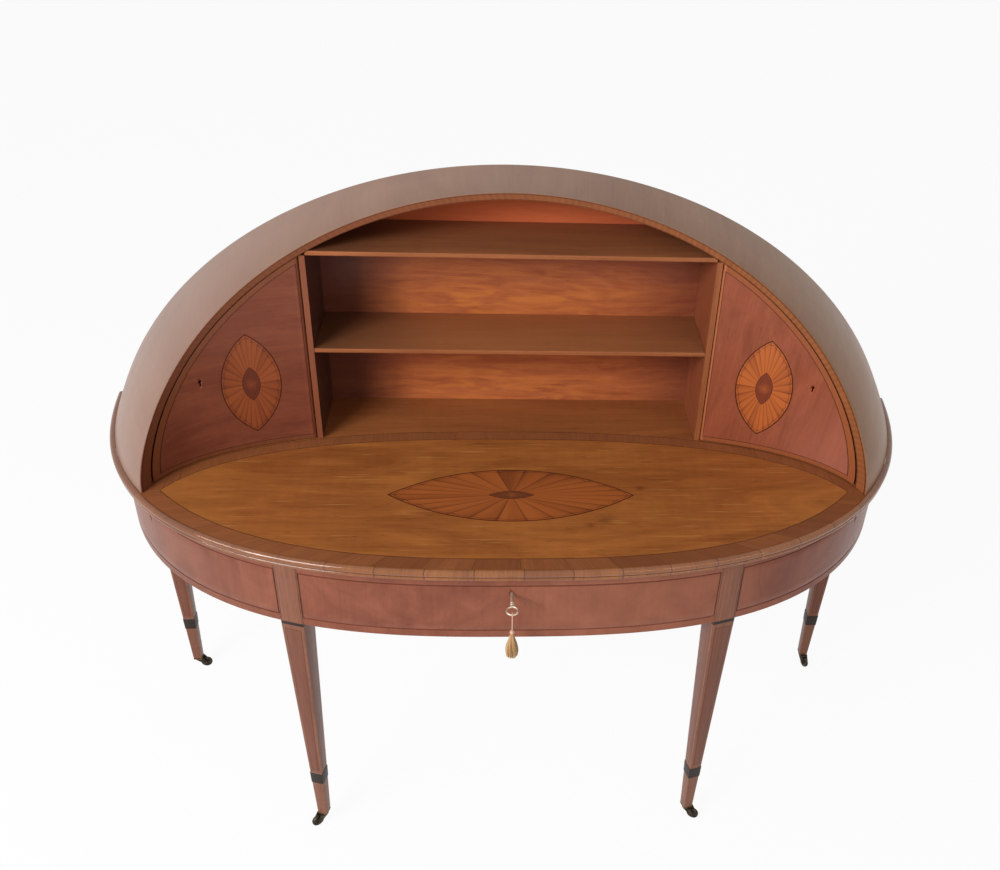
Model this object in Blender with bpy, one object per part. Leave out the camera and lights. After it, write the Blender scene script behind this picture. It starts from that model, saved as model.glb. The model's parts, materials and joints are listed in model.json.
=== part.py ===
"""Half-oval writing desk with an arched hood, fitted cupboards, shelves and three drawers.

Metres, +Z up, the sitter in front at -Y and the flat back at +Y. Every piece of the desk is its
own object. Left and right pieces come from the same function, with side = -1 or +1 on X.
"""

import math

import bmesh
import bpy
import numpy as np
from mathutils import Matrix, Vector

# Plan of the top: half of a full oval, cut flat at the back
RIM_HALF_WIDTH = 0.780
RIM_SEMI_DEPTH = 0.6907
RIM_CENTRE_BEHIND = 0.1513
RIM_POWER = 2.71

# Heights of the table
TABLE_HEIGHT = 0.735
TOP_THICK = 0.0206
EDGE_WIDTH = 0.0095
EDGE_ROUND = 0.007
FRIEZE_HEIGHT = 0.140
TOP_RAIL_HEIGHT = 0.0225
BOTTOM_RAIL_HEIGHT = 0.0145

# Frieze and carcase boards
FRIEZE_INSET = 0.018
RAIL_THICK = 0.020
BACK_RAIL_THICK = 0.018
GUIDE_THICK = 0.014
RUNNER_WIDTH = 0.018

# Legs
LEG_TOP = 0.042
LEG_FOOT = 0.0185
FRONT_LEG_X = 0.375
REAR_LEG_BACK = 0.017
REAR_LEG_INSET = 0.0125
CUFF_TOP = 0.161
CUFF_HEIGHT = 0.030
CUFF_PROUD = 0.0008

# Casters
WHEEL_RADIUS = 0.0125
WHEEL_WIDTH = 0.010
AXLE_RADIUS = 0.002
CASTER_TRAIL = 0.016
CASTER_BRIDGE = 0.0022
CASTER_ARM = 0.002
CASTER_EYE = 0.0042
CASTER_PLATE = 0.0025
WHEEL_CROWN_CLEAR = 0.0012
WHEEL_SIDE_CLEAR = 0.0006
SWIVEL_CLEAR = 0.0004

# Drawers
DRAWER_CLEAR = 0.0012
DRAWER_FRONT_THICK = 0.020
DRAWER_WALL = 0.010
DRAWER_BOTTOM = 0.006
DRAWER_BOTTOM_UP = 0.007
DRAWER_WALL_DROP = 0.008
DRAWER_BACK_CLEAR = 0.015

# Hood
HOOD_INSET = 0.010
HOOD_RISE = 0.481
HOOD_THICK = 0.0125
FRONT_ARCH_POWER = 1.9
BACK_ARCH_CENTRE_DROP = 0.229
FRONT_LINE_BACK = 0.135
FRONT_LINE_HALF = 0.650
FRONT_LINE_DEPTH = 0.2748
FRONT_LINE_POWER = 2.5

# Inside the hood
BACK_BOARD_THICK = 0.014
BACK_BOARD_REBATE = 0.004
PARTITION_X = 0.3525
PARTITION_THICK = 0.010
SHELF_THICK = 0.012
SHELF_FRONT = 0.159
LOWER_SHELF_UP = 0.193
UPPER_SHELF_UP = 0.381
DOOR_THICK = 0.016
DOOR_RECESS = 0.003
DOOR_CLEAR = 0.0018
PIVOT_RADIUS = 0.0025
PIVOT_LENGTH = 0.018

# Locks and key
LOCK_WIDTH = 0.044
LOCK_HEIGHT = 0.034
LOCK_DEPTH = 0.011
LOCK_SEAT = 0.0009
KEYHOLE_DROP = 0.0155
KEYHOLE_RADIUS = 0.0032
KEYHOLE_SLOT_WIDTH = 0.0026
KEYHOLE_SLOT_DROP = 0.0095
DOOR_KEYHOLE_IN = 0.0385
DOOR_KEYHOLE_UP = 0.161
KEY_CHAMBER_RADIUS = 0.0090
KEY_CHAMBER_DEPTH = 0.0080
KEY_SHANK_RADIUS = 0.0024
KEY_SHANK_OUT = 0.0305
KEY_RING_RADIUS = 0.0094
KEY_RING_WIRE = 0.0016
KEY_COLLAR_RADIUS = 0.0034
KEY_BIT_REACH = 0.0078
KEY_BIT_THICK = 0.0018
KEY_BIT_WIDTH = 0.0050

# Tassel on the key
CORD_DIAMETER = 0.0022
CORD_LENGTH = 0.033
TASSEL_KNOT_RADIUS = 0.0040
TASSEL_SKIRT_LENGTH = 0.054
TASSEL_SKIRT_RADIUS = 0.0112
TASSEL_NECK_RADIUS = 0.0030
TASSEL_FLUTES = 18
TASSEL_FLUTE_DEPTH = 0.0006

# Gaps
SEAT_GAP = 0.0003
CUT_LAP = 0.005

# Facets
RIM_STATIONS = 64
ARCH_STATIONS = 48
SHELL_STATIONS = 9
PANEL_STATIONS = 24
DENSE = 1600

# Places that follow from the sizes
KEY_REACH = KEY_SHANK_OUT + 2.0 * (KEY_RING_RADIUS + KEY_RING_WIRE)
RIM_DEPTH = RIM_SEMI_DEPTH - RIM_CENTRE_BEHIND
BACK_Y = 0.5 * (RIM_DEPTH - FRIEZE_INSET + KEY_REACH)
RIM_CENTRE_Y = BACK_Y + RIM_CENTRE_BEHIND
UNDER_Z = TABLE_HEIGHT - TOP_THICK
FRIEZE_LOW = UNDER_Z - FRIEZE_HEIGHT
DRAWER_SEAT = FRIEZE_LOW + BOTTOM_RAIL_HEIGHT + SEAT_GAP
DRAWER_LOW = DRAWER_SEAT + DRAWER_CLEAR
DRAWER_HIGH = UNDER_Z - TOP_RAIL_HEIGHT - DRAWER_CLEAR
DRAWER_WALL_HIGH = DRAWER_HIGH - DRAWER_WALL_DROP
DRAWER_FRONT_BACK = FRIEZE_INSET + DRAWER_FRONT_THICK
KEYHOLE_Z = DRAWER_HIGH - KEYHOLE_DROP
HOOD_BASE = TABLE_HEIGHT + SEAT_GAP
BRIDGE_LOW = 2.0 * WHEEL_RADIUS + WHEEL_CROWN_CLEAR
BRIDGE_HIGH = BRIDGE_LOW + CASTER_BRIDGE
PLATE_LOW = BRIDGE_HIGH + SWIVEL_CLEAR
LEG_END = PLATE_LOW + CASTER_PLATE + SEAT_GAP
BACK_BOARD_FRONT = BACK_BOARD_REBATE + BACK_BOARD_THICK
RIGHT, LEFT = 1, -1
SIDE_NAME = {RIGHT: "right", LEFT: "left"}

# Colour, roughness and metallic value of each finish
FINISHES = {
    "hood_veneer": ((0.36, 0.19, 0.12), 0.32, 0.0),
    "door_veneer": ((0.42, 0.15, 0.06), 0.32, 0.0),
    "frieze_veneer": ((0.33, 0.12, 0.06), 0.33, 0.0),
    "top_veneer": ((0.40, 0.18, 0.05), 0.30, 0.0),
    "crossband": ((0.24, 0.09, 0.04), 0.34, 0.0),
    "shelf_wood": ((0.38, 0.16, 0.06), 0.38, 0.0),
    "leg_wood": ((0.28, 0.11, 0.06), 0.36, 0.0),
    "drawer_lining": ((0.50, 0.33, 0.17), 0.60, 0.0),
    "carcase_wood": ((0.40, 0.25, 0.12), 0.65, 0.0),
    "bronze": ((0.09, 0.075, 0.06), 0.45, 0.8),
    "lock_brass": ((0.50, 0.37, 0.17), 0.40, 1.0),
    "key_steel": ((0.52, 0.50, 0.46), 0.32, 1.0),
    "silk": ((0.62, 0.40, 0.13), 0.70, 0.0),
}


def clear_scene():
    """Removes whatever the file opened with."""
    for obj in list(bpy.data.objects):
        bpy.data.objects.remove(obj, do_unlink=True)


def finish(name):
    """The material of this name, made on first use."""
    material = bpy.data.materials.get(name)
    if material is None:
        colour, roughness, metallic = FINISHES[name]
        material = bpy.data.materials.new(name)
        material.use_nodes = True
        shader = material.node_tree.nodes["Principled BSDF"]
        shader.inputs["Base Color"].default_value = (*colour, 1.0)
        shader.inputs["Roughness"].default_value = roughness
        shader.inputs["Metallic"].default_value = metallic
    return material


def solid(name, points, faces, finish_name, smooth=False):
    """One object from points and faces, with its faces turned outwards."""
    mesh = bpy.data.meshes.new(name)
    mesh.from_pydata([tuple(map(float, p)) for p in points], [], [tuple(map(int, f)) for f in faces])
    work = bmesh.new()
    work.from_mesh(mesh)
    bmesh.ops.recalc_face_normals(work, faces=work.faces)
    if work.calc_volume(signed=True) < 0.0:
        bmesh.ops.reverse_faces(work, faces=work.faces)
    work.to_mesh(mesh)
    work.free()
    mesh.materials.append(finish(finish_name))
    mesh.polygons.foreach_set("use_smooth", [smooth] * len(mesh.polygons))
    obj = bpy.data.objects.new(name, mesh)
    bpy.context.scene.collection.objects.link(obj)
    return obj


def prism(name, outline, low, high, finish_name, axis="Z", smooth=False):
    """A flat outline drawn straight along one axis.

    The outline's two numbers are the other two axes in X, Y, Z order.
    """
    outline = np.asarray(outline, float)
    count = len(outline)
    order = {"Z": (0, 1, 2), "Y": (0, 2, 1), "X": (1, 2, 0)}[axis]
    points = np.empty((2 * count, 3))
    for layer, level in enumerate((low, high)):
        rows = slice(layer * count, (layer + 1) * count)
        points[rows, order[0]] = outline[:, 0]
        points[rows, order[1]] = outline[:, 1]
        points[rows, order[2]] = level
    faces = [list(range(count)), list(range(count, 2 * count))]
    faces += [(i, (i + 1) % count, count + (i + 1) % count, count + i) for i in range(count)]
    return solid(name, points, faces, finish_name, smooth)


def loft(name, rings, finish_name, closed=False, smooth=False):
    """A skin through equal rings of points, with flat ends, or joined end to start when closed."""
    rings = np.asarray(rings, float)
    stations, count = rings.shape[:2]
    faces = []
    for i in range(stations if closed else stations - 1):
        here, there = i * count, ((i + 1) % stations) * count
        for j in range(count):
            k = (j + 1) % count
            faces.append((here + j, here + k, there + k, there + j))
    if not closed:
        faces.append(list(range(count)))
        faces.append(list(range((stations - 1) * count, stations * count)))
    return solid(name, rings.reshape(-1, 3), faces, finish_name, smooth)


def turned(name, profile, sides, finish_name, axis="Z", closed=False, flutes=None):
    """A profile of (radius, height) pairs turned about an axis through the origin.

    An open profile starts and ends with a small flat. A closed one is a ring. The optional
    flutes function gives a factor on the radius from the angle and the place on the profile.
    """
    profile = np.asarray(profile, float)
    angles = np.arange(sides) * 2.0 * math.pi / sides
    rings = np.empty((len(profile), sides, 3))
    for i, (radius, height) in enumerate(profile):
        reach = radius * (flutes(angles, i / (len(profile) - 1)) if flutes else np.ones(sides))
        across, along = reach * np.cos(angles), reach * np.sin(angles)
        if axis == "Z":
            rings[i] = np.stack([across, along, np.full(sides, height)], -1)
        else:
            rings[i] = np.stack([across, np.full(sides, height), along], -1)
    return loft(name, rings, finish_name, closed=closed, smooth=True)


def box(name, low, high, finish_name):
    """A plain board between two corners."""
    outline = [(low[0], low[1]), (high[0], low[1]), (high[0], high[1]), (low[0], high[1])]
    return prism(name, outline, low[2], high[2], finish_name)


def helper(obj):
    """Hides a cutter, or a shape that another one takes in."""
    obj.hide_render = True
    obj.display_type = "WIRE"
    return obj


def combine(target, other, operation):
    """Cuts, joins or trims target with other, which becomes a helper."""
    modifier = target.modifiers.new(operation.lower(), "BOOLEAN")
    modifier.operation = operation
    modifier.solver = "EXACT"
    modifier.object = helper(other)
    return target


def place(obj, location, turn=0.0):
    """Stands an object that was made about its own origin."""
    obj.location = location
    obj.rotation_euler = (0.0, 0.0, turn)
    return obj


def carry(name, point, objects, turn=0.0):
    """An empty on a joint's axis that carries these objects where they are."""
    empty = bpy.data.objects.new(name, None)
    empty.empty_display_size = 0.03
    empty.location = point
    empty.rotation_euler = (0.0, 0.0, turn)
    bpy.context.scene.collection.objects.link(empty)
    placed = Matrix.Translation(Vector(point)) @ Matrix.Rotation(turn, 4, "Z")
    for obj in objects:
        obj.parent = empty
        obj.matrix_parent_inverse = placed.inverted()
    return empty


def even(points, count):
    """A polyline walked in equal steps."""
    points = np.asarray(points, float)
    steps = np.hypot(*np.diff(points, axis=0).T)
    reach = np.concatenate([[0.0], np.cumsum(steps)])
    marks = np.linspace(0.0, reach[-1], count)
    return np.stack([np.interp(marks, reach, points[:, k]) for k in range(points.shape[1])], -1)


def trimmed(points, through, normal):
    """The stretch of a polyline on the side of a line that its normal points to."""
    points = np.asarray(points, float)
    side = (points - np.asarray(through)) @ np.asarray(normal)
    inside = np.flatnonzero(side >= 0.0)
    first, last = inside[0], inside[-1]
    kept = [points[i] for i in range(first, last + 1)]
    if first > 0:
        share = side[first] / (side[first] - side[first - 1])
        kept.insert(0, points[first] + share * (points[first - 1] - points[first]))
    if last < len(points) - 1:
        share = side[last] / (side[last] - side[last + 1])
        kept.append(points[last] + share * (points[last + 1] - points[last]))
    return np.array(kept)


def rim_curve(inset):
    """The oval, drawn in by an inset, from the right back corner round the front to the left."""
    angle = np.linspace(0.0, math.pi, DENSE + 1)
    cos, sin = np.cos(angle), np.abs(np.sin(angle))
    share = 2.0 / RIM_POWER
    x = (RIM_HALF_WIDTH - inset) * np.sign(cos) * np.abs(cos) ** share
    y = RIM_CENTRE_Y - (RIM_SEMI_DEPTH - inset) * sin ** share
    return trimmed(np.stack([x, y], -1), (0.0, BACK_Y), (0.0, -1.0))


def rim_x(inset, y):
    """How far the drawn-in oval reaches to the side at a depth."""
    rise = np.clip((RIM_CENTRE_Y - y) / (RIM_SEMI_DEPTH - inset), 0.0, 1.0)
    return (RIM_HALF_WIDTH - inset) * (1.0 - rise ** RIM_POWER) ** (1.0 / RIM_POWER)


def rim_y(inset, x):
    """How far the drawn-in oval reaches to the front at a place across."""
    reach = np.clip(np.abs(x) / (RIM_HALF_WIDTH - inset), 0.0, 1.0)
    return RIM_CENTRE_Y - (RIM_SEMI_DEPTH - inset) * (1.0 - reach ** RIM_POWER) ** (1.0 / RIM_POWER)


def rim_normal(inset, x):
    """The outward direction of the drawn-in oval at a place across its front right part."""
    across = (x / (RIM_HALF_WIDTH - inset)) ** (RIM_POWER - 1.0) / (RIM_HALF_WIDTH - inset)
    forward = (RIM_CENTRE_Y - rim_y(inset, x)) / (RIM_SEMI_DEPTH - inset)
    forward = forward ** (RIM_POWER - 1.0) / (RIM_SEMI_DEPTH - inset)
    length = math.hypot(across, forward)
    return np.array([across / length, -forward / length])


# The right front leg stands square to the frieze, with its face flush
LEG_OUT = rim_normal(FRIEZE_INSET, FRONT_LEG_X)
LEG_ALONG = np.array([-LEG_OUT[1], LEG_OUT[0]])
LEG_TURN = math.atan2(LEG_OUT[0], -LEG_OUT[1])
FRONT_LEG = np.array([FRONT_LEG_X, rim_y(FRIEZE_INSET, FRONT_LEG_X)]) - 0.5 * LEG_TOP * LEG_OUT
FRONT_LEG_CORNERS = np.array(
    [FRONT_LEG + 0.5 * LEG_TOP * (a * LEG_ALONG + b * LEG_OUT) for a in (-1, 1) for b in (-1, 1)]
)
REAR_LEG_Y = BACK_Y - REAR_LEG_BACK - 0.5 * LEG_TOP
REAR_LEG_FRONT = REAR_LEG_Y - 0.5 * LEG_TOP
REAR_LEG_X = rim_x(FRIEZE_INSET, REAR_LEG_FRONT) - REAR_LEG_INSET - 0.5 * LEG_TOP
REAR_LEG_INNER = REAR_LEG_X - 0.5 * LEG_TOP
BACK_RAIL_FRONT = BACK_Y - REAR_LEG_BACK - BACK_RAIL_THICK

# The centre drawer passes between the front legs, and its guides stand behind them
CENTRE_BOX_HALF = FRONT_LEG_CORNERS[:, 0].min() - DRAWER_CLEAR
GUIDE_INNER = CENTRE_BOX_HALF + DRAWER_CLEAR
GUIDE_OUTER = GUIDE_INNER + GUIDE_THICK
CENTRE_BOX_BACK = BACK_RAIL_FRONT - DRAWER_BACK_CLEAR
SIDE_BOX_INNER = FRONT_LEG_CORNERS[:, 0].max() + DRAWER_CLEAR
SIDE_BOX_BACK = REAR_LEG_FRONT - DRAWER_CLEAR


def leg_side_line(which, gap):
    """A point and normal of the right front leg's inner (-1) or outer (+1) side, a gap away."""
    return FRONT_LEG + which * (0.5 * LEG_TOP + gap) * LEG_ALONG, which * LEG_ALONG


def frieze_stretch(part, inset, gap, count):
    """Points of the drawn-in oval between the legs, in the centre or along the right side."""
    curve = rim_curve(inset)
    if part == "centre":
        through, normal = leg_side_line(-1, gap)
        flip = np.array([-1.0, 1.0])
        curve = trimmed(trimmed(curve, through, normal), through * flip, normal * flip)
    else:
        curve = curve[curve[:, 0] > 0.0]
        curve = trimmed(curve, *leg_side_line(1, gap))
        curve = trimmed(curve, (0.0, REAR_LEG_FRONT - gap), (0.0, -1.0))
    return even(curve, count)


def frieze_board(name, part, side, gap, thick, low, high, finish_name):
    """A board bent to the frieze between two legs."""
    outer = frieze_stretch(part, FRIEZE_INSET, gap, PANEL_STATIONS)
    inner = frieze_stretch(part, FRIEZE_INSET + thick, gap, PANEL_STATIONS)
    outline = np.concatenate([outer, inner[::-1]]) * (side, 1.0)
    return prism(name, outline, low, high, finish_name)


def front_line_y(x):
    """Plan of the hood's front, the doors and the writing field's back: flat, then hooked forward."""
    reach = np.clip(np.abs(x) / FRONT_LINE_HALF, 0.0, 1.0)
    bow = 1.0 - (1.0 - reach ** FRONT_LINE_POWER) ** (1.0 / FRONT_LINE_POWER)
    return BACK_Y - FRONT_LINE_BACK - FRONT_LINE_DEPTH * bow


def hood_foot_x():
    """Where the hood's front line meets the hood's base line round the rim."""
    low, high = 0.5 * FRONT_LINE_HALF, min(FRONT_LINE_HALF, RIM_HALF_WIDTH - HOOD_INSET)
    for _ in range(60):
        middle = 0.5 * (low + high)
        if front_line_y(middle) > rim_y(HOOD_INSET, middle):
            low = middle
        else:
            high = middle
    return low


HOOD_FOOT_X = hood_foot_x()
HOOD_FOOT_Y = front_line_y(HOOD_FOOT_X)
HOOD_BACK_X = rim_x(HOOD_INSET, BACK_Y)


def front_arch(inset, share):
    """Front arch of the hood as seen from the front, share 0 at the right foot and 1 at the left."""
    angle = math.pi * np.asarray(share, float)
    cos, sin = np.cos(angle), np.abs(np.sin(angle))
    power = 2.0 / FRONT_ARCH_POWER
    x = (HOOD_FOOT_X - inset) * np.sign(cos) * np.abs(cos) ** power
    return x, HOOD_BASE + (HOOD_RISE - inset) * sin ** power


def back_arch(inset, share):
    """Back arch of the hood: the upper part of an ellipse whose centre lies below the top."""
    tall = HOOD_RISE + BACK_ARCH_CENTRE_DROP
    wide = HOOD_BACK_X / math.sqrt(1.0 - (BACK_ARCH_CENTRE_DROP / tall) ** 2)
    first = math.asin(BACK_ARCH_CENTRE_DROP / (tall - inset))
    angle = first + (math.pi - 2.0 * first) * np.asarray(share, float)
    x = (wide - inset) * np.cos(angle)
    return x, HOOD_BASE - BACK_ARCH_CENTRE_DROP + (tall - inset) * np.sin(angle)


def hood_point(inset, share, depth):
    """A point of the hood's skin: depth 0 is the front arch and 1 the back arch.

    At the base the skin follows the rim, and each ruling between the arches bows as the base does.
    """
    share, depth = np.broadcast_arrays(np.asarray(share, float), np.asarray(depth, float))
    front_x, front_z = front_arch(inset, share)
    back_x, back_z = back_arch(inset, share)
    base_y = BACK_Y + (1.0 - depth) * (HOOD_FOOT_Y - BACK_Y)
    bow = (rim_x(HOOD_INSET, base_y) - HOOD_FOOT_X) / (HOOD_BACK_X - HOOD_FOOT_X)
    x = front_x + bow * (back_x - front_x)
    y = BACK_Y + (1.0 - depth) * (front_line_y(front_x) - BACK_Y)
    z = front_z + depth * (back_z - front_z)
    return np.stack([x, y, z], -1)


def hood_section(inset, back_off, count):
    """The hood's skin cut by an upright plane this far in front of the back, as (x, z) points."""
    share = np.linspace(0.0, 1.0, count)
    front_x, _ = front_arch(inset, share)
    depth = 1.0 - back_off / (BACK_Y - front_line_y(front_x))
    return hood_point(inset, share, np.clip(depth, 0.0, 1.0))[:, (0, 2)]


def hood_height(x, back_off):
    """Height of the hood's inner skin over a place on the right."""
    section = hood_section(HOOD_THICK, back_off, DENSE)
    right = section[section[:, 0] >= 0.0]
    return float(np.interp(x, right[::-1, 0], right[::-1, 1]))


def build_top():
    """The veneered top and the moulding round its oval edge."""
    field = even(rim_curve(EDGE_WIDTH), RIM_STATIONS)
    prism("table_top", field, UNDER_Z, TABLE_HEIGHT, "top_veneer")

    inner = EDGE_WIDTH - SEAT_GAP
    middle = 0.5 * (UNDER_Z + TABLE_HEIGHT)
    tall = 0.5 * TOP_THICK
    sweep = np.linspace(0.5 * math.pi, -0.5 * math.pi, 9)
    section = [(inner, TABLE_HEIGHT)]
    section += [(EDGE_ROUND * (1.0 - math.cos(a)), middle + tall * math.sin(a)) for a in sweep]
    section.append((inner, UNDER_Z))
    rails = []
    for inset, height in section:
        path = even(rim_curve(inset), RIM_STATIONS)
        rails.append(np.column_stack([path, np.full(len(path), height)]))
    rings = np.stack(rails, axis=1)
    loft("edge_moulding", rings, "crossband")


def build_frieze():
    """The fixed boards of the frieze: rails, back rail, drawer guides and bottom boards."""
    rail_low = UNDER_Z - TOP_RAIL_HEIGHT
    rail_high = UNDER_Z - SEAT_GAP
    strip_high = FRIEZE_LOW + BOTTOM_RAIL_HEIGHT
    frieze_board(
        "top_rail_centre", "centre", RIGHT, SEAT_GAP, RAIL_THICK, rail_low, rail_high, "frieze_veneer"
    )
    frieze_board(
        "bottom_rail_centre", "centre", RIGHT, SEAT_GAP, RAIL_THICK, FRIEZE_LOW, strip_high, "frieze_veneer"
    )
    box(
        "back_rail",
        (-REAR_LEG_INNER + SEAT_GAP, BACK_RAIL_FRONT, FRIEZE_LOW),
        (REAR_LEG_INNER - SEAT_GAP, BACK_RAIL_FRONT + BACK_RAIL_THICK, rail_high),
        "carcase_wood",
    )
    for side in (RIGHT, LEFT):
        word = SIDE_NAME[side]
        frieze_board(
            f"top_rail_{word}", "side", side, SEAT_GAP, RAIL_THICK, rail_low, rail_high, "frieze_veneer"
        )
        build_guide(f"drawer_guide_{word}", side, strip_high, rail_high)
        build_bottom_board(f"bottom_board_{word}", side, strip_high)


def behind_front_leg(x):
    """Depth of the line just behind the right front leg's back face."""
    corner = FRONT_LEG - (0.5 * LEG_TOP + SEAT_GAP) * LEG_OUT
    return corner[1] - (x - corner[0]) * LEG_OUT[0] / LEG_OUT[1]


def build_guide(name, side, runner_high, high):
    """The upright between two drawers, with the runner that the centre drawer slides on."""
    back = BACK_RAIL_FRONT - SEAT_GAP
    inner = GUIDE_INNER - RUNNER_WIDTH

    def strip(first, last):
        near, far = behind_front_leg(first), behind_front_leg(last)
        outline = [(first, back), (first, near), (last, far), (last, back)]
        return np.array(outline) * (side, 1.0)

    guide = prism(name, strip(GUIDE_INNER, GUIDE_OUTER), FRIEZE_LOW, high, "carcase_wood")
    middle = 0.5 * (GUIDE_INNER + GUIDE_OUTER)
    runner = prism(name + "_runner", strip(inner, middle), FRIEZE_LOW, runner_high, "carcase_wood")
    return combine(guide, runner, "UNION")


def build_bottom_board(name, side, high):
    """The board under a side drawer. Its bent front edge is the bottom strip of the frieze."""
    outer = frieze_stretch("side", FRIEZE_INSET, SEAT_GAP, PANEL_STATIONS)
    inner_x = GUIDE_OUTER + SEAT_GAP
    leg_corner, _ = leg_side_line(1, SEAT_GAP)
    leg_corner = leg_corner - (0.5 * LEG_TOP + SEAT_GAP) * LEG_OUT
    inside = [
        (leg_corner[0], leg_corner[1]),
        (inner_x, behind_front_leg(inner_x)),
        (inner_x, BACK_RAIL_FRONT - SEAT_GAP),
        (REAR_LEG_INNER - SEAT_GAP, BACK_RAIL_FRONT - SEAT_GAP),
        (REAR_LEG_INNER - SEAT_GAP, REAR_LEG_FRONT - SEAT_GAP),
    ]
    outline = np.concatenate([outer, inside]) * (side, 1.0)
    return prism(name, outline, FRIEZE_LOW, high, "frieze_veneer")


def build_leg(name, centre, turn, trail):
    """A square leg, tapered below the frieze, with its ebony cuff and its caster."""
    slope = 0.5 * (LEG_TOP - LEG_FOOT) / (FRIEZE_LOW - LEG_END)

    def half(level):
        return 0.5 * LEG_TOP - slope * max(0.0, FRIEZE_LOW - level)

    cuff_low = CUFF_TOP - CUFF_HEIGHT
    stations = [
        (UNDER_Z - SEAT_GAP, half(UNDER_Z)),
        (FRIEZE_LOW, half(FRIEZE_LOW)),
        (CUFF_TOP, half(CUFF_TOP)),
        (CUFF_TOP, half(CUFF_TOP) + CUFF_PROUD),
        (cuff_low, half(cuff_low) + CUFF_PROUD),
        (cuff_low, half(cuff_low)),
        (LEG_END, half(LEG_END)),
    ]
    corners = ((-1, -1), (1, -1), (1, 1), (-1, 1))
    rings = [[(a * reach, b * reach, level) for a, b in corners] for level, reach in stations]
    place(loft(name, rings, "leg_wood"), (centre[0], centre[1], 0.0), turn)
    build_caster(name.replace("leg", "caster"), centre, turn, trail)


def build_caster(name, centre, leg_turn, trail):
    """A plate under the leg, a fork that swivels below it and a wheel that trails."""
    spot = (centre[0], centre[1], 0.0)
    reach = 0.5 * LEG_FOOT
    plate_high = PLATE_LOW + CASTER_PLATE
    plate = box(name + "_plate", (-reach, -reach, PLATE_LOW), (reach, reach, plate_high), "bronze")
    place(plate, spot, leg_turn)

    inner = 0.5 * WHEEL_WIDTH + WHEEL_SIDE_CLEAR
    outer = inner + CASTER_ARM
    heel = -CASTER_EYE - 0.5 * CASTER_ARM
    toe = CASTER_TRAIL - CASTER_EYE
    round_eye = np.linspace(math.radians(40.0), math.radians(-170.0), 10)
    arm = [(heel, BRIDGE_LOW), (heel, BRIDGE_HIGH), (toe, BRIDGE_HIGH)]
    eye = [(CASTER_EYE * math.cos(a), CASTER_EYE * math.sin(a)) for a in round_eye]
    arm += [(CASTER_TRAIL + across, WHEEL_RADIUS + up) for across, up in eye]
    fork = box(name + "_fork", (heel, -outer, BRIDGE_LOW), (toe, outer, BRIDGE_HIGH), "bronze")
    helpers = []
    for side in (RIGHT, LEFT):
        first, last = sorted((side * inner, side * outer))
        helpers.append(prism(f"{name}_arm_{SIDE_NAME[side]}", arm, first, last, "bronze", axis="Y"))
    pin = turned(
        name + "_axle",
        [(AXLE_RADIUS, -outer + 0.25 * CASTER_ARM), (AXLE_RADIUS, outer - 0.25 * CASTER_ARM)],
        12,
        "bronze",
        axis="Y",
    )
    pin.location = (CASTER_TRAIL, 0.0, WHEEL_RADIUS)
    helpers.append(pin)
    for part in helpers:
        combine(fork, part, "UNION")

    half = 0.5 * WHEEL_WIDTH
    bore = AXLE_RADIUS + SEAT_GAP
    crown = 0.12 * WHEEL_RADIUS
    section = [(bore, -half), (WHEEL_RADIUS - 2.0 * crown, -half), (WHEEL_RADIUS - crown, -0.8 * half)]
    section += [(WHEEL_RADIUS, -0.35 * half), (WHEEL_RADIUS, 0.35 * half)]
    section += [(WHEEL_RADIUS - crown, 0.8 * half), (WHEEL_RADIUS - 2.0 * crown, half), (bore, half)]
    wheel = turned(name + "_wheel", section, 28, "bronze", axis="Y", closed=True)
    wheel.location = (CASTER_TRAIL, 0.0, WHEEL_RADIUS)
    swivel = carry(name + "_swivel", (0.0, 0.0, 0.0), [fork, wheel] + helpers)
    place(swivel, spot, trail)


def build_legs():
    """Two front legs square to the bent frieze and two rear legs square to the back."""
    trails = {"front_right": -0.5, "front_left": -2.5, "rear_right": -1.3, "rear_left": 0.1}
    for side in (RIGHT, LEFT):
        word = SIDE_NAME[side]
        front, rear = f"front_{word}", f"rear_{word}"
        build_leg(f"leg_{front}", (side * FRONT_LEG[0], FRONT_LEG[1]), side * LEG_TURN, trails[front])
        build_leg(f"leg_{rear}", (side * REAR_LEG_X, REAR_LEG_Y), 0.0, trails[rear])


def keyhole_cutter(name, depth):
    """A round hole with a slot below it, along Y through the origin."""
    width = 0.5 * KEYHOLE_SLOT_WIDTH
    start = -0.5 * math.pi + math.asin(width / KEYHOLE_RADIUS)
    angles = np.linspace(start, start + 2.0 * (math.pi - math.asin(width / KEYHOLE_RADIUS)), 17)
    outline = [(KEYHOLE_RADIUS * math.cos(a), KEYHOLE_RADIUS * math.sin(a)) for a in angles]
    outline += [(-width, -KEYHOLE_SLOT_DROP), (width, -KEYHOLE_SLOT_DROP)]
    return prism(name, outline, -0.5 * depth, 0.5 * depth, "bronze", axis="Y")


def build_lock(name, spot, turn):
    """A lock case whose face is at a spot, looking along -Y before its turn, with a key chamber."""
    low = (-0.5 * LOCK_WIDTH, 0.0, -0.6 * LOCK_HEIGHT)
    high = (0.5 * LOCK_WIDTH, LOCK_DEPTH, 0.4 * LOCK_HEIGHT)
    case = box(name, low, high, "lock_brass")
    bore = turned(
        name + "_chamber",
        [(KEY_CHAMBER_RADIUS, -CUT_LAP), (KEY_CHAMBER_RADIUS, KEY_CHAMBER_DEPTH)],
        24,
        "lock_brass",
        axis="Y",
    )
    combine(case, bore, "DIFFERENCE")
    for part in (case, bore):
        place(part, spot, turn)
    return [case, bore]


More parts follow.
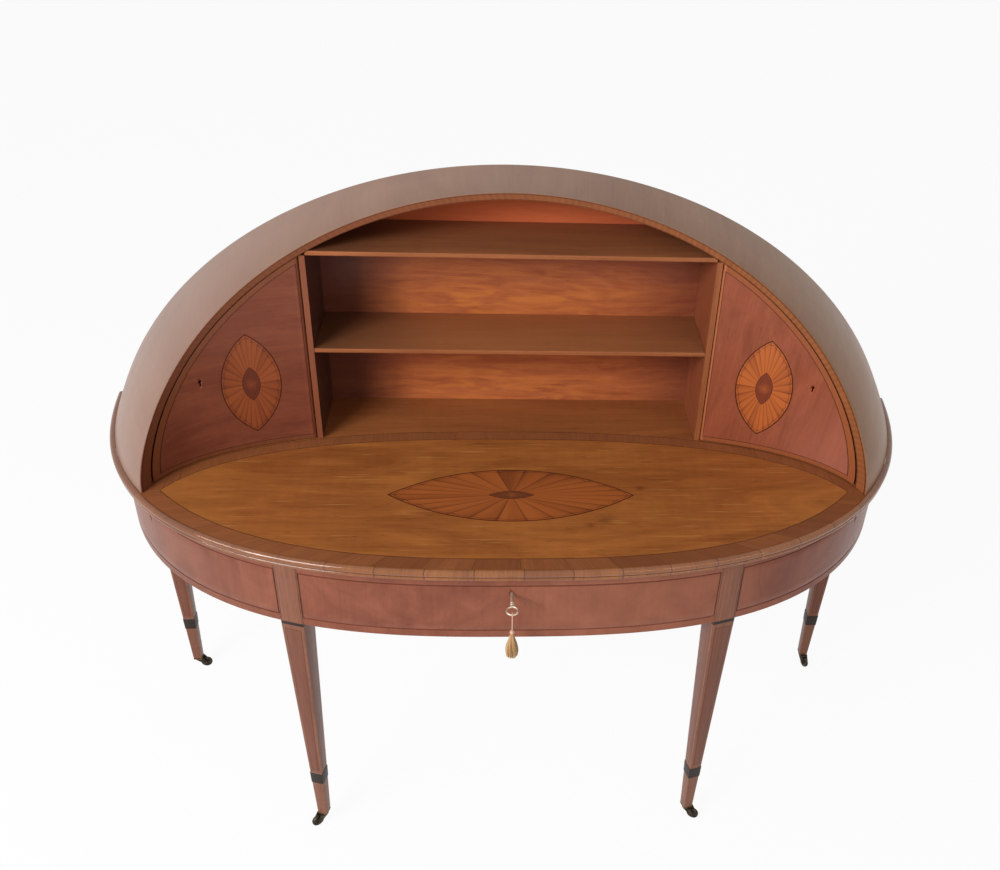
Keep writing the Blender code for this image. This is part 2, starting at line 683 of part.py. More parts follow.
def build_centre_drawer():
    """The wide drawer between the front legs, with its lock, key and tassel."""

    def wall_front(x):
        return rim_y(DRAWER_FRONT_BACK, x) + 2.0 * SEAT_GAP

    front = frieze_board(
        "centre_drawer_front",
        "centre",
        RIGHT,
        DRAWER_CLEAR,
        DRAWER_FRONT_THICK,
        DRAWER_LOW,
        DRAWER_HIGH,
        "frieze_veneer",
    )
    pieces = [front]
    inner = CENTRE_BOX_HALF - DRAWER_WALL
    for side in (RIGHT, LEFT):
        outline = [
            (inner, wall_front(inner)),
            (CENTRE_BOX_HALF, wall_front(CENTRE_BOX_HALF)),
            (CENTRE_BOX_HALF, CENTRE_BOX_BACK),
            (inner, CENTRE_BOX_BACK),
        ]
        name = f"centre_drawer_wall_{SIDE_NAME[side]}"
        outline = np.array(outline) * (side, 1.0)
        pieces.append(prism(name, outline, DRAWER_SEAT, DRAWER_WALL_HIGH, "drawer_lining"))
    room = inner - SEAT_GAP
    back_front = CENTRE_BOX_BACK - DRAWER_WALL
    pieces.append(
        box(
            "centre_drawer_back",
            (-room, back_front, DRAWER_SEAT),
            (room, CENTRE_BOX_BACK, DRAWER_WALL_HIGH),
            "drawer_lining",
        )
    )
    across = np.linspace(-room, room, PANEL_STATIONS)
    outline = np.column_stack([across, wall_front(across)])
    outline = np.concatenate([outline, [(room, back_front - SEAT_GAP), (-room, back_front - SEAT_GAP)]])
    bottom = DRAWER_SEAT + DRAWER_BOTTOM_UP
    pieces.append(prism("centre_drawer_bottom", outline, bottom, bottom + DRAWER_BOTTOM, "drawer_lining"))

    face_y = rim_y(FRIEZE_INSET, 0.0)
    lock_y = rim_y(DRAWER_FRONT_BACK, 0.0) + SEAT_GAP
    hole = keyhole_cutter("centre_keyhole", 2.0 * (DRAWER_FRONT_THICK + CUT_LAP))
    hole.location = (0.0, face_y + 0.5 * DRAWER_FRONT_THICK, KEYHOLE_Z)
    combine(front, hole, "DIFFERENCE")
    pieces += [hole] + build_lock("centre_drawer_lock", (0.0, lock_y, KEYHOLE_Z), 0.0)
    carry("centre_drawer_slide", (0.0, face_y, KEYHOLE_Z), pieces)
    build_key(face_y, lock_y)


def build_key(face_y, lock_y):
    """The key in the centre lock, turned flat, with a tassel hanging from its bow."""
    tip = lock_y + KEY_CHAMBER_DEPTH - SEAT_GAP
    bow_y = face_y - KEY_SHANK_OUT - KEY_RING_RADIUS - KEY_RING_WIRE
    shank_start = bow_y + KEY_RING_RADIUS
    key = turned(
        "drawer_key",
        [
            (KEY_SHANK_RADIUS, shank_start),
            (KEY_SHANK_RADIUS, shank_start + KEY_RING_WIRE),
            (KEY_COLLAR_RADIUS, shank_start + 2.0 * KEY_RING_WIRE),
            (KEY_COLLAR_RADIUS, shank_start + 3.5 * KEY_RING_WIRE),
            (KEY_SHANK_RADIUS, shank_start + 4.5 * KEY_RING_WIRE),
            (KEY_SHANK_RADIUS, tip),
        ],
        16,
        "key_steel",
        axis="Y",
    )
    angles = np.arange(12) * math.pi / 6.0
    section = [(KEY_RING_RADIUS + KEY_RING_WIRE * math.cos(a), KEY_RING_WIRE * math.sin(a)) for a in angles]
    ring = turned("key_bow", section, 32, "key_steel", closed=True)
    ring.location = (0.0, bow_y, 0.0)
    bit = box(
        "key_bit",
        (0.0, tip - KEY_BIT_WIDTH, -0.5 * KEY_BIT_THICK),
        (KEY_BIT_REACH, tip - SEAT_GAP, 0.5 * KEY_BIT_THICK),
        "key_steel",
    )
    combine(key, ring, "UNION")
    combine(key, bit, "UNION")
    turn = carry("key_turn", (0.0, 0.0, 0.0), [key, ring, bit])
    turn.location = (0.0, 0.0, KEYHOLE_Z)
    build_tassel(bow_y - KEY_RING_RADIUS - KEY_RING_WIRE - SEAT_GAP - 0.5 * CORD_DIAMETER)


def build_tassel(hang_y):
    """A silk cord against the bow's far end, with a knot and a fluted pear-shaped skirt."""
    cord_top = KEYHOLE_Z + 0.5 * CORD_DIAMETER
    route = np.linspace(0.0, CORD_LENGTH, 9)
    curve = bpy.data.curves.new("tassel_cord", "CURVE")
    curve.dimensions = "3D"
    curve.bevel_depth = 0.5 * CORD_DIAMETER
    curve.bevel_resolution = 2
    curve.use_fill_caps = True
    spline = curve.splines.new("POLY")
    spline.points.add(len(route) - 1)
    for point, drop in zip(spline.points, route):
        point.co = (0.0, 0.0, -float(drop), 1.0)
    curve.materials.append(finish("silk"))
    cord = bpy.data.objects.new("tassel_cord", curve)
    bpy.context.scene.collection.objects.link(cord)
    cord.location = (0.0, hang_y, cord_top)

    knot_top = -CORD_LENGTH - SEAT_GAP
    knot = np.linspace(0.44 * math.pi, -0.36 * math.pi, 7)
    knot_centre = knot_top - TASSEL_KNOT_RADIUS * math.sin(knot[0])
    profile = [
        (TASSEL_KNOT_RADIUS * math.cos(a), knot_centre + TASSEL_KNOT_RADIUS * math.sin(a)) for a in knot
    ]
    skirt_top = profile[-1][1]
    for share in np.linspace(0.06, 1.0, 10):
        swell = math.sin(math.pi * min(1.0, 0.64 * share + 0.02)) ** 1.25
        radius = TASSEL_NECK_RADIUS + (TASSEL_SKIRT_RADIUS - TASSEL_NECK_RADIUS) * swell
        profile.append((radius, skirt_top - TASSEL_SKIRT_LENGTH * share))

    def flutes(angles, along):
        depth = TASSEL_FLUTE_DEPTH / TASSEL_SKIRT_RADIUS * max(0.0, along - 0.45) / 0.55
        return 1.0 - depth * (1.0 - np.cos(TASSEL_FLUTES * angles))

    tassel = turned(
        "tassel", profile[::-1], 4 * TASSEL_FLUTES, "silk", flutes=lambda a, s: flutes(a, 1.0 - s)
    )
    tassel.location = (0.0, hang_y, cord_top)
    carry("tassel_swing", (0.0, hang_y, KEYHOLE_Z), [cord, tassel])


def side_drawer_way():
    """The direction in which the right side drawer slides: square to the chord of its front."""
    front = frieze_stretch("side", FRIEZE_INSET, DRAWER_CLEAR, PANEL_STATIONS)
    chord = front[0] - front[-1]
    way = np.array([chord[1], -chord[0]])
    return way / np.hypot(*way)


def build_side_drawer(side):
    """A wedge-shaped drawer between a front and a rear leg, with a bent front."""
    word = SIDE_NAME[side]
    flip = (side, 1.0)
    front = frieze_board(
        f"side_drawer_front_{word}",
        "side",
        side,
        DRAWER_CLEAR,
        DRAWER_FRONT_THICK,
        DRAWER_LOW,
        DRAWER_HIGH,
        "frieze_veneer",
    )
    pieces = [front]
    lining = DRAWER_FRONT_BACK + 2.0 * SEAT_GAP
    first, second = SIDE_BOX_INNER, SIDE_BOX_INNER + DRAWER_WALL
    outline = [
        (first, rim_y(lining, first)),
        (second, rim_y(lining, second)),
        (second, SIDE_BOX_BACK),
        (first, SIDE_BOX_BACK),
    ]
    name = f"side_drawer_inner_wall_{word}"
    pieces.append(prism(name, np.array(outline) * flip, DRAWER_SEAT, DRAWER_WALL_HIGH, "drawer_lining"))

    near, far = SIDE_BOX_BACK - DRAWER_WALL, SIDE_BOX_BACK
    start = second + SEAT_GAP
    outline = [(start, near), (rim_x(lining, near), near), (rim_x(lining, far), far), (start, far)]
    name = f"side_drawer_back_wall_{word}"
    pieces.append(prism(name, np.array(outline) * flip, DRAWER_SEAT, DRAWER_WALL_HIGH, "drawer_lining"))

    bend = trimmed(rim_curve(lining), (start, 0.0), (1.0, 0.0))
    bend = even(trimmed(bend, (0.0, near - SEAT_GAP), (0.0, -1.0)), PANEL_STATIONS)
    outline = np.concatenate([bend, [(start, near - SEAT_GAP)]]) * flip
    bottom = DRAWER_SEAT + DRAWER_BOTTOM_UP
    name = f"side_drawer_bottom_{word}"
    pieces.append(prism(name, outline, bottom, bottom + DRAWER_BOTTOM, "drawer_lining"))

    way = side_drawer_way()
    middle = even(frieze_stretch("side", FRIEZE_INSET, DRAWER_CLEAR, PANEL_STATIONS), 3)[1]
    out = np.array([way[0] * side, way[1]])
    spot = middle * flip
    turn = math.atan2(out[0], -out[1])
    hole = keyhole_cutter(f"side_keyhole_{word}", 2.0 * (DRAWER_FRONT_THICK + CUT_LAP))
    hole_spot = spot - 0.5 * DRAWER_FRONT_THICK * out
    place(hole, (hole_spot[0], hole_spot[1], KEYHOLE_Z), turn)
    combine(front, hole, "DIFFERENCE")
    lining_face = even(frieze_stretch("side", DRAWER_FRONT_BACK, DRAWER_CLEAR, PANEL_STATIONS), DENSE)
    behind = (middle - lining_face) @ way
    across = np.abs((lining_face - middle) @ (way[1], -way[0]))
    lock_spot = spot - (behind[across <= 0.5 * LOCK_WIDTH].max() + SEAT_GAP) * out
    lock = build_lock(f"side_drawer_lock_{word}", (lock_spot[0], lock_spot[1], KEYHOLE_Z), turn)
    carry(f"side_drawer_slide_{word}", (spot[0], spot[1], KEYHOLE_Z), pieces + [hole] + lock, turn)


def build_hood():
    """The bent shell of the hood and the board that closes its back."""
    share = np.linspace(0.0, 1.0, ARCH_STATIONS + 1)
    depth = np.linspace(0.0, 1.0, SHELL_STATIONS)
    rings = []
    for place_along in share:
        outer = hood_point(0.0, place_along, depth)
        inner = hood_point(HOOD_THICK, place_along, depth)
        rings.append(np.concatenate([outer, inner[::-1]]))
    loft("hood_shell", rings, "hood_veneer", smooth=True)

    section = hood_section(HOOD_THICK + 2.0 * SEAT_GAP, BACK_BOARD_FRONT, ARCH_STATIONS + 1)
    section[:, 1] = np.maximum(section[:, 1], HOOD_BASE)
    prism(
        "back_board",
        section,
        BACK_Y - BACK_BOARD_FRONT,
        BACK_Y - BACK_BOARD_REBATE,
        "shelf_wood",
        axis="Y",
    )


def build_inside():
    """The two partitions and the two shelves between them."""
    back = BACK_Y - BACK_BOARD_FRONT - SEAT_GAP
    outer_x = PARTITION_X + PARTITION_THICK
    front = front_line_y(outer_x) + DOOR_RECESS
    tops = []
    for y in np.linspace(front, back, 7):
        tops.append((y, hood_height(outer_x, BACK_Y - y) - 2.0 * SEAT_GAP))
    outline = [(back, HOOD_BASE), (front, HOOD_BASE)] + tops
    for side in (RIGHT, LEFT):
        low, high = sorted((side * PARTITION_X, side * outer_x))
        prism(f"partition_{SIDE_NAME[side]}", outline, low, high, "door_veneer", axis="X")

    arch_x, arch_z = front_arch(HOOD_THICK, np.linspace(0.0, 0.5, DENSE))

    def half_at(level):
        return min(PARTITION_X, float(np.interp(level, arch_z, arch_x))) - 2.0 * SEAT_GAP

    for name, up in (("shelf_lower", LOWER_SHELF_UP), ("shelf_upper", UPPER_SHELF_UP)):
        high = TABLE_HEIGHT + up
        low = high - SHELF_THICK
        outline = [(half_at(low), low), (half_at(high), high), (-half_at(high), high), (-half_at(low), low)]
        prism(name, outline, BACK_Y - SHELF_FRONT, back, "shelf_wood", axis="Y")


def door_line(x, back_off):
    """Plan points a distance behind the door's face line, and the directions they were moved in."""
    step = 1e-5
    y = front_line_y(x) + DOOR_RECESS
    slope = (front_line_y(x + step) - front_line_y(x - step)) / (2.0 * step)
    way = np.stack([-slope, np.ones_like(slope)], -1) / np.sqrt(1.0 + slope**2)[:, None]
    return np.stack([x, y], -1) + back_off * way, way


def door_pivot():
    """Plan place of the right door's pivot, in the middle of its rounded inner edge."""
    x = np.array([PARTITION_X + PARTITION_THICK + DOOR_CLEAR + 0.5 * DOOR_THICK])
    points, ways = door_line(x, 0.5 * DOOR_THICK)
    return points[0], ways[0]


def build_door(side):
    """A bent door with a rounded inner edge that turns on a pivot pin, and its lock."""
    word = SIDE_NAME[side]
    pivot, way = door_pivot()
    x = np.linspace(pivot[0] - 0.5 * DOOR_THICK * way[0], HOOD_FOOT_X - 0.5 * HOOD_THICK, PANEL_STATIONS)
    face, _ = door_line(x, 0.0)
    rear, _ = door_line(x, DOOR_THICK)
    start = math.atan2(way[1], way[0])
    bend = np.linspace(start, start + math.pi, 9)[1:-1]
    edge = pivot + 0.5 * DOOR_THICK * np.stack([np.cos(bend), np.sin(bend)], -1)
    outline = np.concatenate([face, rear[::-1], edge]) * (side, 1.0)
    low = HOOD_BASE + DOOR_CLEAR
    door = prism(f"door_{word}", outline, low, HOOD_BASE + HOOD_RISE, "door_veneer")

    arch = np.stack(front_arch(HOOD_THICK + DOOR_CLEAR, np.linspace(0.0, 1.0, ARCH_STATIONS + 1)), -1)
    below = HOOD_BASE - CUT_LAP
    arch = np.concatenate([arch, [(arch[-1, 0], below), (arch[0, 0], below)]])
    trim = prism(f"door_trim_{word}", arch, HOOD_FOOT_Y - CUT_LAP, BACK_Y, "door_veneer", axis="Y")
    combine(door, trim, "INTERSECT")

    # The rear of the top corner is rebated, so that it turns under the falling arch
    reach = pivot[0] + 0.5 * DOOR_THICK + 2.0 * DOOR_CLEAR
    rising = arch[ARCH_STATIONS // 2 :: -1]
    rebate_low = float(np.interp(reach, rising[:, 0], rising[:, 1]))
    first, last = sorted((side * (pivot[0] - DOOR_THICK), side * reach))
    rebate = box(
        f"door_rebate_{word}",
        (first, pivot[1] - 0.3 * DOOR_THICK, rebate_low),
        (last, BACK_Y, HOOD_BASE + HOOD_RISE + CUT_LAP),
        "door_veneer",
    )
    combine(door, rebate, "DIFFERENCE")

    socket = turned(
        f"door_socket_{word}",
        [(PIVOT_RADIUS + SEAT_GAP, low - CUT_LAP), (PIVOT_RADIUS + SEAT_GAP, low + PIVOT_LENGTH)],
        20,
        "lock_brass",
    )
    place(socket, (side * pivot[0], pivot[1], 0.0))
    combine(door, socket, "DIFFERENCE")
    pin = turned(
        f"door_pivot_{word}",
        [(PIVOT_RADIUS, HOOD_BASE), (PIVOT_RADIUS, low + PIVOT_LENGTH - DOOR_CLEAR)],
        20,
        "lock_brass",
    )
    place(pin, (side * pivot[0], pivot[1], 0.0))

    level = TABLE_HEIGHT + DOOR_KEYHOLE_UP
    arch_x, arch_z = front_arch(HOOD_THICK, np.linspace(0.0, 0.5, DENSE))
    keyhole_x = np.interp([level], arch_z, arch_x) - DOOR_KEYHOLE_IN - DOOR_CLEAR
    spot, ways = door_line(keyhole_x, 0.0)
    back_way = ways[0] * (side, 1.0)
    turn = math.atan2(-back_way[0], back_way[1])
    hole = keyhole_cutter(f"door_keyhole_{word}", 2.0 * (DOOR_THICK + CUT_LAP))
    centre = spot[0] * (side, 1.0) + 0.5 * DOOR_THICK * back_way
    place(hole, (centre[0], centre[1], level), turn)
    combine(door, hole, "DIFFERENCE")
    lock_spot = spot[0] * (side, 1.0) + (DOOR_THICK + LOCK_SEAT) * back_way
    lock = build_lock(f"door_lock_{word}", (lock_spot[0], lock_spot[1], level), turn)
    carry(f"door_hinge_{word}", (side * pivot[0], pivot[1], low), [door, trim, rebate, socket, hole] + lock)


def main():
    """Builds every piece of the desk."""
    clear_scene()
    build_top()
    build_frieze()
    build_legs()
    build_centre_drawer()
    build_hood()
    build_inside()
    for side in (RIGHT, LEFT):
        build_side_drawer(side)
        build_door(side)
    bpy.context.view_layer.update()


main()
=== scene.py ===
"""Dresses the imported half-oval writing desk: bent veneers, fan inlay, stringing, metal and silk.

The solids give the sizes and the joints. The pieces here repeat the solids' plan and arch formulas
on finer grids, with rounded edges, and carry marks (distances along and across each surface) that
the finishes read for grain, banding and inlay.
"""

import json
import logging
import math
from dataclasses import dataclass
from enum import Enum
from typing import Any, Callable, Sequence, Union

import bpy
import numpy as np
from mathutils import Matrix, Vector


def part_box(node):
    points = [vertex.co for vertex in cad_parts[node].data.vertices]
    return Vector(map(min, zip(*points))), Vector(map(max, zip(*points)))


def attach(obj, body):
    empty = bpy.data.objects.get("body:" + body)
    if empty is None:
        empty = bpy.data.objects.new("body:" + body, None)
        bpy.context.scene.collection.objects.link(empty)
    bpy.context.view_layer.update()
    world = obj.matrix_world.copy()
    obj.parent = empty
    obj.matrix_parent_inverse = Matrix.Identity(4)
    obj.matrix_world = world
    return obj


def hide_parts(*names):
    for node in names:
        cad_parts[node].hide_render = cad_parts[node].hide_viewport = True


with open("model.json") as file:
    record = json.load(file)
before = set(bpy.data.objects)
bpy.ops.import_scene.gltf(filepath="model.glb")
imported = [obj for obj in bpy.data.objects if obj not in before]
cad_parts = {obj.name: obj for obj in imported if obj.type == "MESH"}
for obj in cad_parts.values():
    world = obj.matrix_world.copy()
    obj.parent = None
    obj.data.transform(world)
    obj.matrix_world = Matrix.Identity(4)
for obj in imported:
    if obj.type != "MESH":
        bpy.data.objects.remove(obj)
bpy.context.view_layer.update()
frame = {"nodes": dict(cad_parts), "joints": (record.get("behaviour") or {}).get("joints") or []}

LOG = logging.getLogger("desk")
Array = np.ndarray
Colour = tuple[float, float, float]
Number = Union[float, "Value"]
Material = bpy.types.Material
Piece = bpy.types.Object
Socket = bpy.types.NodeSocket
TURN = 2.0 * math.pi
QUARTER = 0.5 * math.pi
# Depth of the relief in the polish, and the slightly greater one of the top and its edge.
RELIEF = 0.0001
TOP_RELIEF = 0.00012
# Width of the soft edge of an inlaid shape.
CRISP = 0.0004


def tint(red: int, green: int, blue: int) -> Colour:
    """Linear colour from the 0 to 255 values that a screen shows."""
    shown = np.array([red, green, blue]) / 255.0
    linear = np.where(shown <= 0.04045, shown / 12.92, ((shown + 0.055) / 1.055) ** 2.4)
    return tuple(float(c) for c in linear)


def walked(points: Array) -> Array:
    """Distance walked at each point of a polyline."""
    return np.concatenate([[0.0], np.cumsum(np.linalg.norm(np.diff(points, axis=0), axis=1))])


def round_steps(count: int) -> Array:
    """Equal angles once round, the end left out."""
    return np.linspace(0.0, TURN, count, endpoint=False)


def bowed(reach: Any, power: float) -> Any:
    """Height of a superellipse of height 1 at a share of its reach."""
    return (1.0 - np.clip(reach, 0.0, 1.0) ** power) ** (1.0 / power)


def arc(angle: Array, centre: tuple[Any, Any], reach: tuple[Any, Any]) -> Array:
    """Points of an ellipse: centre plus reach times cosine and sine of the angle."""
    x, y = centre[0] + reach[0] * np.cos(angle), centre[1] + reach[1] * np.sin(angle)
    return np.stack([x, y], -1)


def lifted(paths: Array, heights: Any) -> Array:
    """Plan points with their heights, which repeat over the shape of the paths."""
    return np.concatenate([paths, np.broadcast_to(heights, paths.shape[:-1])[..., None]], -1)


def slab(outline: Array, low: float, high: float) -> Array:
    """Two rings: a plan outline at a low and at a high level."""
    return lifted(np.stack([outline, outline]), np.array([[low], [high]]))


class Side(Enum):
    """Which half of the desk a piece belongs to."""

    RIGHT = 1
    LEFT = -1

    @property
    def word(self) -> str:
        """The side as it stands in node names."""
        return self.name.lower()


class Stretch(Enum):
    """The two kinds of stretch of the frieze between legs."""

    CENTRE = "centre"
    FLANK = "side"


def operator(kind: str, turned: bool = False) -> Callable[..., "Value"]:
    """A method of Value that adds one Math node.

    Args:
        kind: the node's operation.
        turned: puts the value last, as a reflected operator does.

    Returns:
        The method.
    """

    def method(self: "Value", *others: Number) -> "Value":
        """This value and the others through one Math node."""
        return self.graph.math(kind, *((*others, self) if turned else (self, *others)))

    return method


class Value:
    """A number that varies over a surface: one output socket, with arithmetic."""

    __add__ = __radd__ = operator("ADD")
    __mul__ = __rmul__ = operator("MULTIPLY")
    __sub__, __rsub__ = operator("SUBTRACT"), operator("SUBTRACT", turned=True)
    __truediv__, __rtruediv__ = operator("DIVIDE"), operator("DIVIDE", turned=True)
    __pow__, __rpow__ = operator("POWER"), operator("POWER", turned=True)
    __abs__, root = operator("ABSOLUTE"), operator("SQRT")
    floor, part = operator("FLOOR"), operator("FRACT")
    least, most = operator("MINIMUM"), operator("MAXIMUM")

    def __init__(self, graph: "Graph", socket: Socket) -> None:
        """Wraps a socket of a graph."""
        self.graph = graph
        self.socket = socket

    def __neg__(self) -> "Value":
        """This with its sign turned."""
        return self * -1.0

    def clamped(self) -> "Value":
        """This held between 0 and 1."""
        return self.graph.math("ADD", self, 0.0, clamp=True)

    def over(self, edge: float, soft: float = CRISP) -> "Value":
        """0 below an edge and 1 above it, over a soft width."""
        return ((self - edge) / soft + 0.5).clamped()

    def line(self, at: float, width: float, soft: float = CRISP) -> "Value":
        """1 on a line of this width where the value is `at`, else 0."""
        return ((0.5 * width - abs(self - at)) / soft + 0.5).clamped()

    def seam(self, width: float, soft: float) -> "Value":
        """1 on a line of this width at every whole number, else 0."""
        return abs(self.part() - 0.5).line(0.5, width, soft)


class Graph:
    """The node tree of one material, or of the world."""

    def __init__(self, name: str, world: bool = False) -> None:
        """Starts a material, or the world, with the one shader that it comes with."""
        self.owner = bpy.data.worlds.new(name) if world else bpy.data.materials.new(name)
        self.owner.use_nodes = True
        self.tree = self.owner.node_tree
        self.shader = self.tree.nodes["Background" if world else "Principled BSDF"]
        self.end = self.tree.nodes["World Output" if world else "Material Output"]

    def plug(self, value: Any, socket: Socket) -> None:
        """Links a value to a socket, or writes a constant on it."""
        source = value.socket if isinstance(value, Value) else value
        if isinstance(source, Socket):
            self.tree.links.new(source, socket)
        else:
            socket.default_value = (*value, 1.0) if socket.type == "RGBA" else value

    def node(self, kind: str, settings: dict[str, Any], inputs: dict[Any, Any]) -> bpy.types.Node:
        """Adds a node.

        Args:
            kind: the node's type name.
            settings: its properties, set first.
            inputs: values or links of its sockets, by name or number.

        Returns:
            The new node.
        """
        made = self.tree.nodes.new(kind)
        for key, value in settings.items():
            setattr(made, key, value)
        for key, value in inputs.items():
            self.plug(value, made.inputs[key])
        return made

    def math(self, operation: str, *values: Number, clamp: bool = False) -> Value:
        """One Math node on up to three values."""
        settings = {"operation": operation, "use_clamp": clamp}
        return Value(self, self.node("ShaderNodeMath", settings, dict(enumerate(values))).outputs[0])

    def mark(self, name: str) -> Value:
        """A mark that the mesh carries at its points."""
        return Value(self, self.node("ShaderNodeAttribute", {"attribute_name": name}, {}).outputs["Fac"])

    def place(self) -> tuple[Value, Value, Value]:
        """X, Y and Z of the surface on its own object."""
        where = self.node("ShaderNodeTexCoord", {}, {}).outputs["Object"]
        split = self.node("ShaderNodeSeparateXYZ", {}, {0: where})
        return tuple(Value(self, split.outputs[k]) for k in range(3))

    def noise(
        self, x: Number, y: Number, z: Number, detail: float = 3.0, rough: float = 0.6, warp: float = 0.0
    ) -> Value:
        """Soft noise over three numbers, with features about one unit across."""
        spot = self.node("ShaderNodeCombineXYZ", {}, {0: x, 1: y, 2: z}).outputs[0]
        inputs = {"Vector": spot, "Scale": 1.0, "Detail": detail, "Roughness": rough, "Distortion": warp}
        return Value(self, self.node("ShaderNodeTexNoise", {}, inputs).outputs["Fac"])

    def own(self, number: Value, y: float, z: float) -> Value:
        """One plain noise value for each number, such as that of a block or a petal."""
        return self.noise(number, y, z, 0.0, 0.55)

    def mix(self, share: Number, first: Any, second: Any) -> Socket:
        """Blends two colours: first at share 0, second at share 1."""
        settings = {"data_type": "RGBA", "blend_type": "MIX", "clamp_factor": True}
        return self.node("ShaderNodeMix", settings, {0: share, 6: first, 7: second}).outputs[2]

    def blend(self, share: Number, first: Number, second: Number) -> Value:
        """Blends two numbers: first at share 0, second at share 1."""
        settings = {"data_type": "FLOAT", "clamp_factor": True}
        mixed = self.node("ShaderNodeMix", settings, {0: share, 2: first, 3: second})
        return Value(self, mixed.outputs[0])

    def seen(self) -> Value:
        """1 for rays from the camera, a mirror-like surface or glass, else 0."""
        path = self.node("ShaderNodeLightPath", {}, {}).outputs
        kinds = ("Camera", "Glossy", "Transmission")
        camera, glossy, glass = (Value(self, path[f"Is {kind} Ray"]) for kind in kinds)
        return camera.most(glossy).most(glass)

    def glow(self, share: Number, kind: str) -> None:
        """Blends plain white light over the shader, as much as share says."""
        white = self.node(kind, {}, {"Color": (1.0, 1.0, 1.0), "Strength": 1.0})
        inputs = {0: share, 1: self.shader.outputs[0], 2: white.outputs[0]}
        self.plug(self.node("ShaderNodeMixShader", {}, inputs).outputs[0], self.end.inputs["Surface"])

    def finish(self, look: "Look", constants: dict[str, float], relief: float = RELIEF) -> Material:
        """Plugs a look into the shader and returns the material.

        Args:
            look: colour, roughness and height over the surface.
            constants: sockets that are the same all over.
            relief: depth of the height in metres, or 0 for none.

        Returns:
            The finished material.
        """
        sockets = self.shader.inputs
        self.plug(look.colour, sockets["Base Color"])
        self.plug(look.rough, sockets["Roughness"])
        for key, value in constants.items():
            sockets[key].default_value = value
        if relief:
            inputs = {"Strength": 1.0, "Distance": relief, "Height": look.height}
            self.plug(self.node("ShaderNodeBump", {}, inputs).outputs[0], sockets["Normal"])
        return self.owner


@dataclass
class Look:
    """What a finish gives over a surface: colour, roughness and height."""

    graph: Graph
    colour: Any
    rough: Number
    height: Number

    def under(self, share: Number, other: "Look") -> "Look":
        """This look, with another on top of it where share is 1."""
        rough = self.graph.blend(share, self.rough, other.rough)
        height = self.graph.blend(share, self.height, other.height)
        return Look(self.graph, self.graph.mix(share, self.colour, other.colour), rough, height)

    def stained(self, *stains: tuple[Number, Any]) -> "Look":
        """This look with its colour drawn towards others in turn, its gloss kept.

        Args:
            stains: pairs of how much and which colour.

        Returns:
            The stained look.
        """
        colour = self.colour
        for share, other in stains:
            colour = self.graph.mix(share, colour, other)
        return Look(self.graph, colour, self.rough, self.height)


@dataclass(frozen=True)
class Veneer:
    """A polished wood: two tones, drawn out along the grain.

    Streaks are noise stretched along the grain, figure is slower noise that is warped into flames,
    pores are fine short dashes, flecks are longer dark ones, and ripple is a faint bar across the
    grain.
    """

    dark: Colour
    light: Colour
    streaks: float = 330.0
    drawn: float = 9.0
    figure: float = 0.5
    spread: float = 17.0
    slow: float = 2.2
    warp: float = 1.1
    ripple: float = 0.08
    flecks: float = 0.0
    rough: float = 0.34
    contrast: float = 2.1

    def look(self, graph: Graph, along: Number, across: Number, seed: Number = 0.0) -> Look:
        """The wood over a surface.

        Args:
            graph: the material's nodes.
            along: metres along the grain.
            across: metres across the grain.
            seed: a number that picks another sheet of the same wood.

        Returns:
            Its look.
        """
        fine = graph.noise(along * self.drawn, across * self.streaks, seed, warp=0.3)
        broad = graph.noise(along * self.slow, across * self.spread, seed + 4.0, 4.0, 0.58, self.warp)
        bars = graph.noise(along * 70.0, across * 6.0, seed + 9.0, 2.0, 0.5, 0.4)
        pits = graph.noise(along * 55.0, across * 1300.0, seed + 2.0, 2.0, 0.5).over(0.66, 0.08)
        tone = fine * (1.0 - self.figure) + broad * self.figure + (bars - 0.5) * self.ripple
        tone = ((tone - 0.5) * self.contrast + 0.5).clamped()
        smear = graph.noise(along * 7.0, across * 9.0, seed + 6.0)
        rough = (smear - 0.5) * 0.16 + pits * 0.12 + self.rough
        deep = tuple(0.45 * c for c in self.dark)
        look = Look(graph, graph.mix(tone, self.dark, self.light), rough, tone * 0.3 - pits * 0.7)
        look = look.stained((pits * 0.45, deep))
        if self.flecks:
            dashes = graph.noise(along * 26.0, across * 190.0, seed + 13.0, 2.0, 0.5).over(0.69, 0.05)
            look = look.stained((dashes * self.flecks, deep))
        return look


@dataclass(frozen=True)
class Ebony:
    """Black inlay wood: near black, with faint brown streaks."""

    colour: Colour = tint(34, 28, 26)
    streak: Colour = tint(62, 50, 44)
    rough: float = 0.38

    def look(self, graph: Graph, along: Number, across: Number) -> Look:
        """The inlay over a surface, drawn along the grain."""
        fine = graph.noise(along * 14.0, across * 500.0, 3.0, 4.0)
        colour = graph.mix(((fine - 0.5) * 2.0 + 0.4).clamped(), self.colour, self.streak)
        return Look(graph, colour, fine * 0.12 + self.rough, fine)


@dataclass(frozen=True)
class Metal:
    """Worn metal: a clean tone, darkened in blotches, with fine scratches."""

    clean: Colour
    dull: Colour
    rough: float = 0.32
    age: float = 0.5
    shine: float = 1.0

    def dress(self, name: str) -> Material:
        """A material of this metal."""
        graph = Graph(name)
        x, y, z = graph.place()
        blotch = graph.noise(x * 160.0, y * 160.0, z * 160.0, 4.0, 0.65, 0.5)
        specks = graph.noise(x * 1500.0, y * 1500.0, z * 500.0, 2.0, 0.5)
        share = ((blotch - 0.5) * 3.0 + self.age).clamped()
        rough = share * 0.22 + (specks - 0.5) * 0.16 + self.rough
        look = Look(graph, graph.mix(share, self.clean, self.dull), rough, specks * 0.4 + blotch)
        return graph.finish(look, {"Metallic": self.shine}, 0.00006)


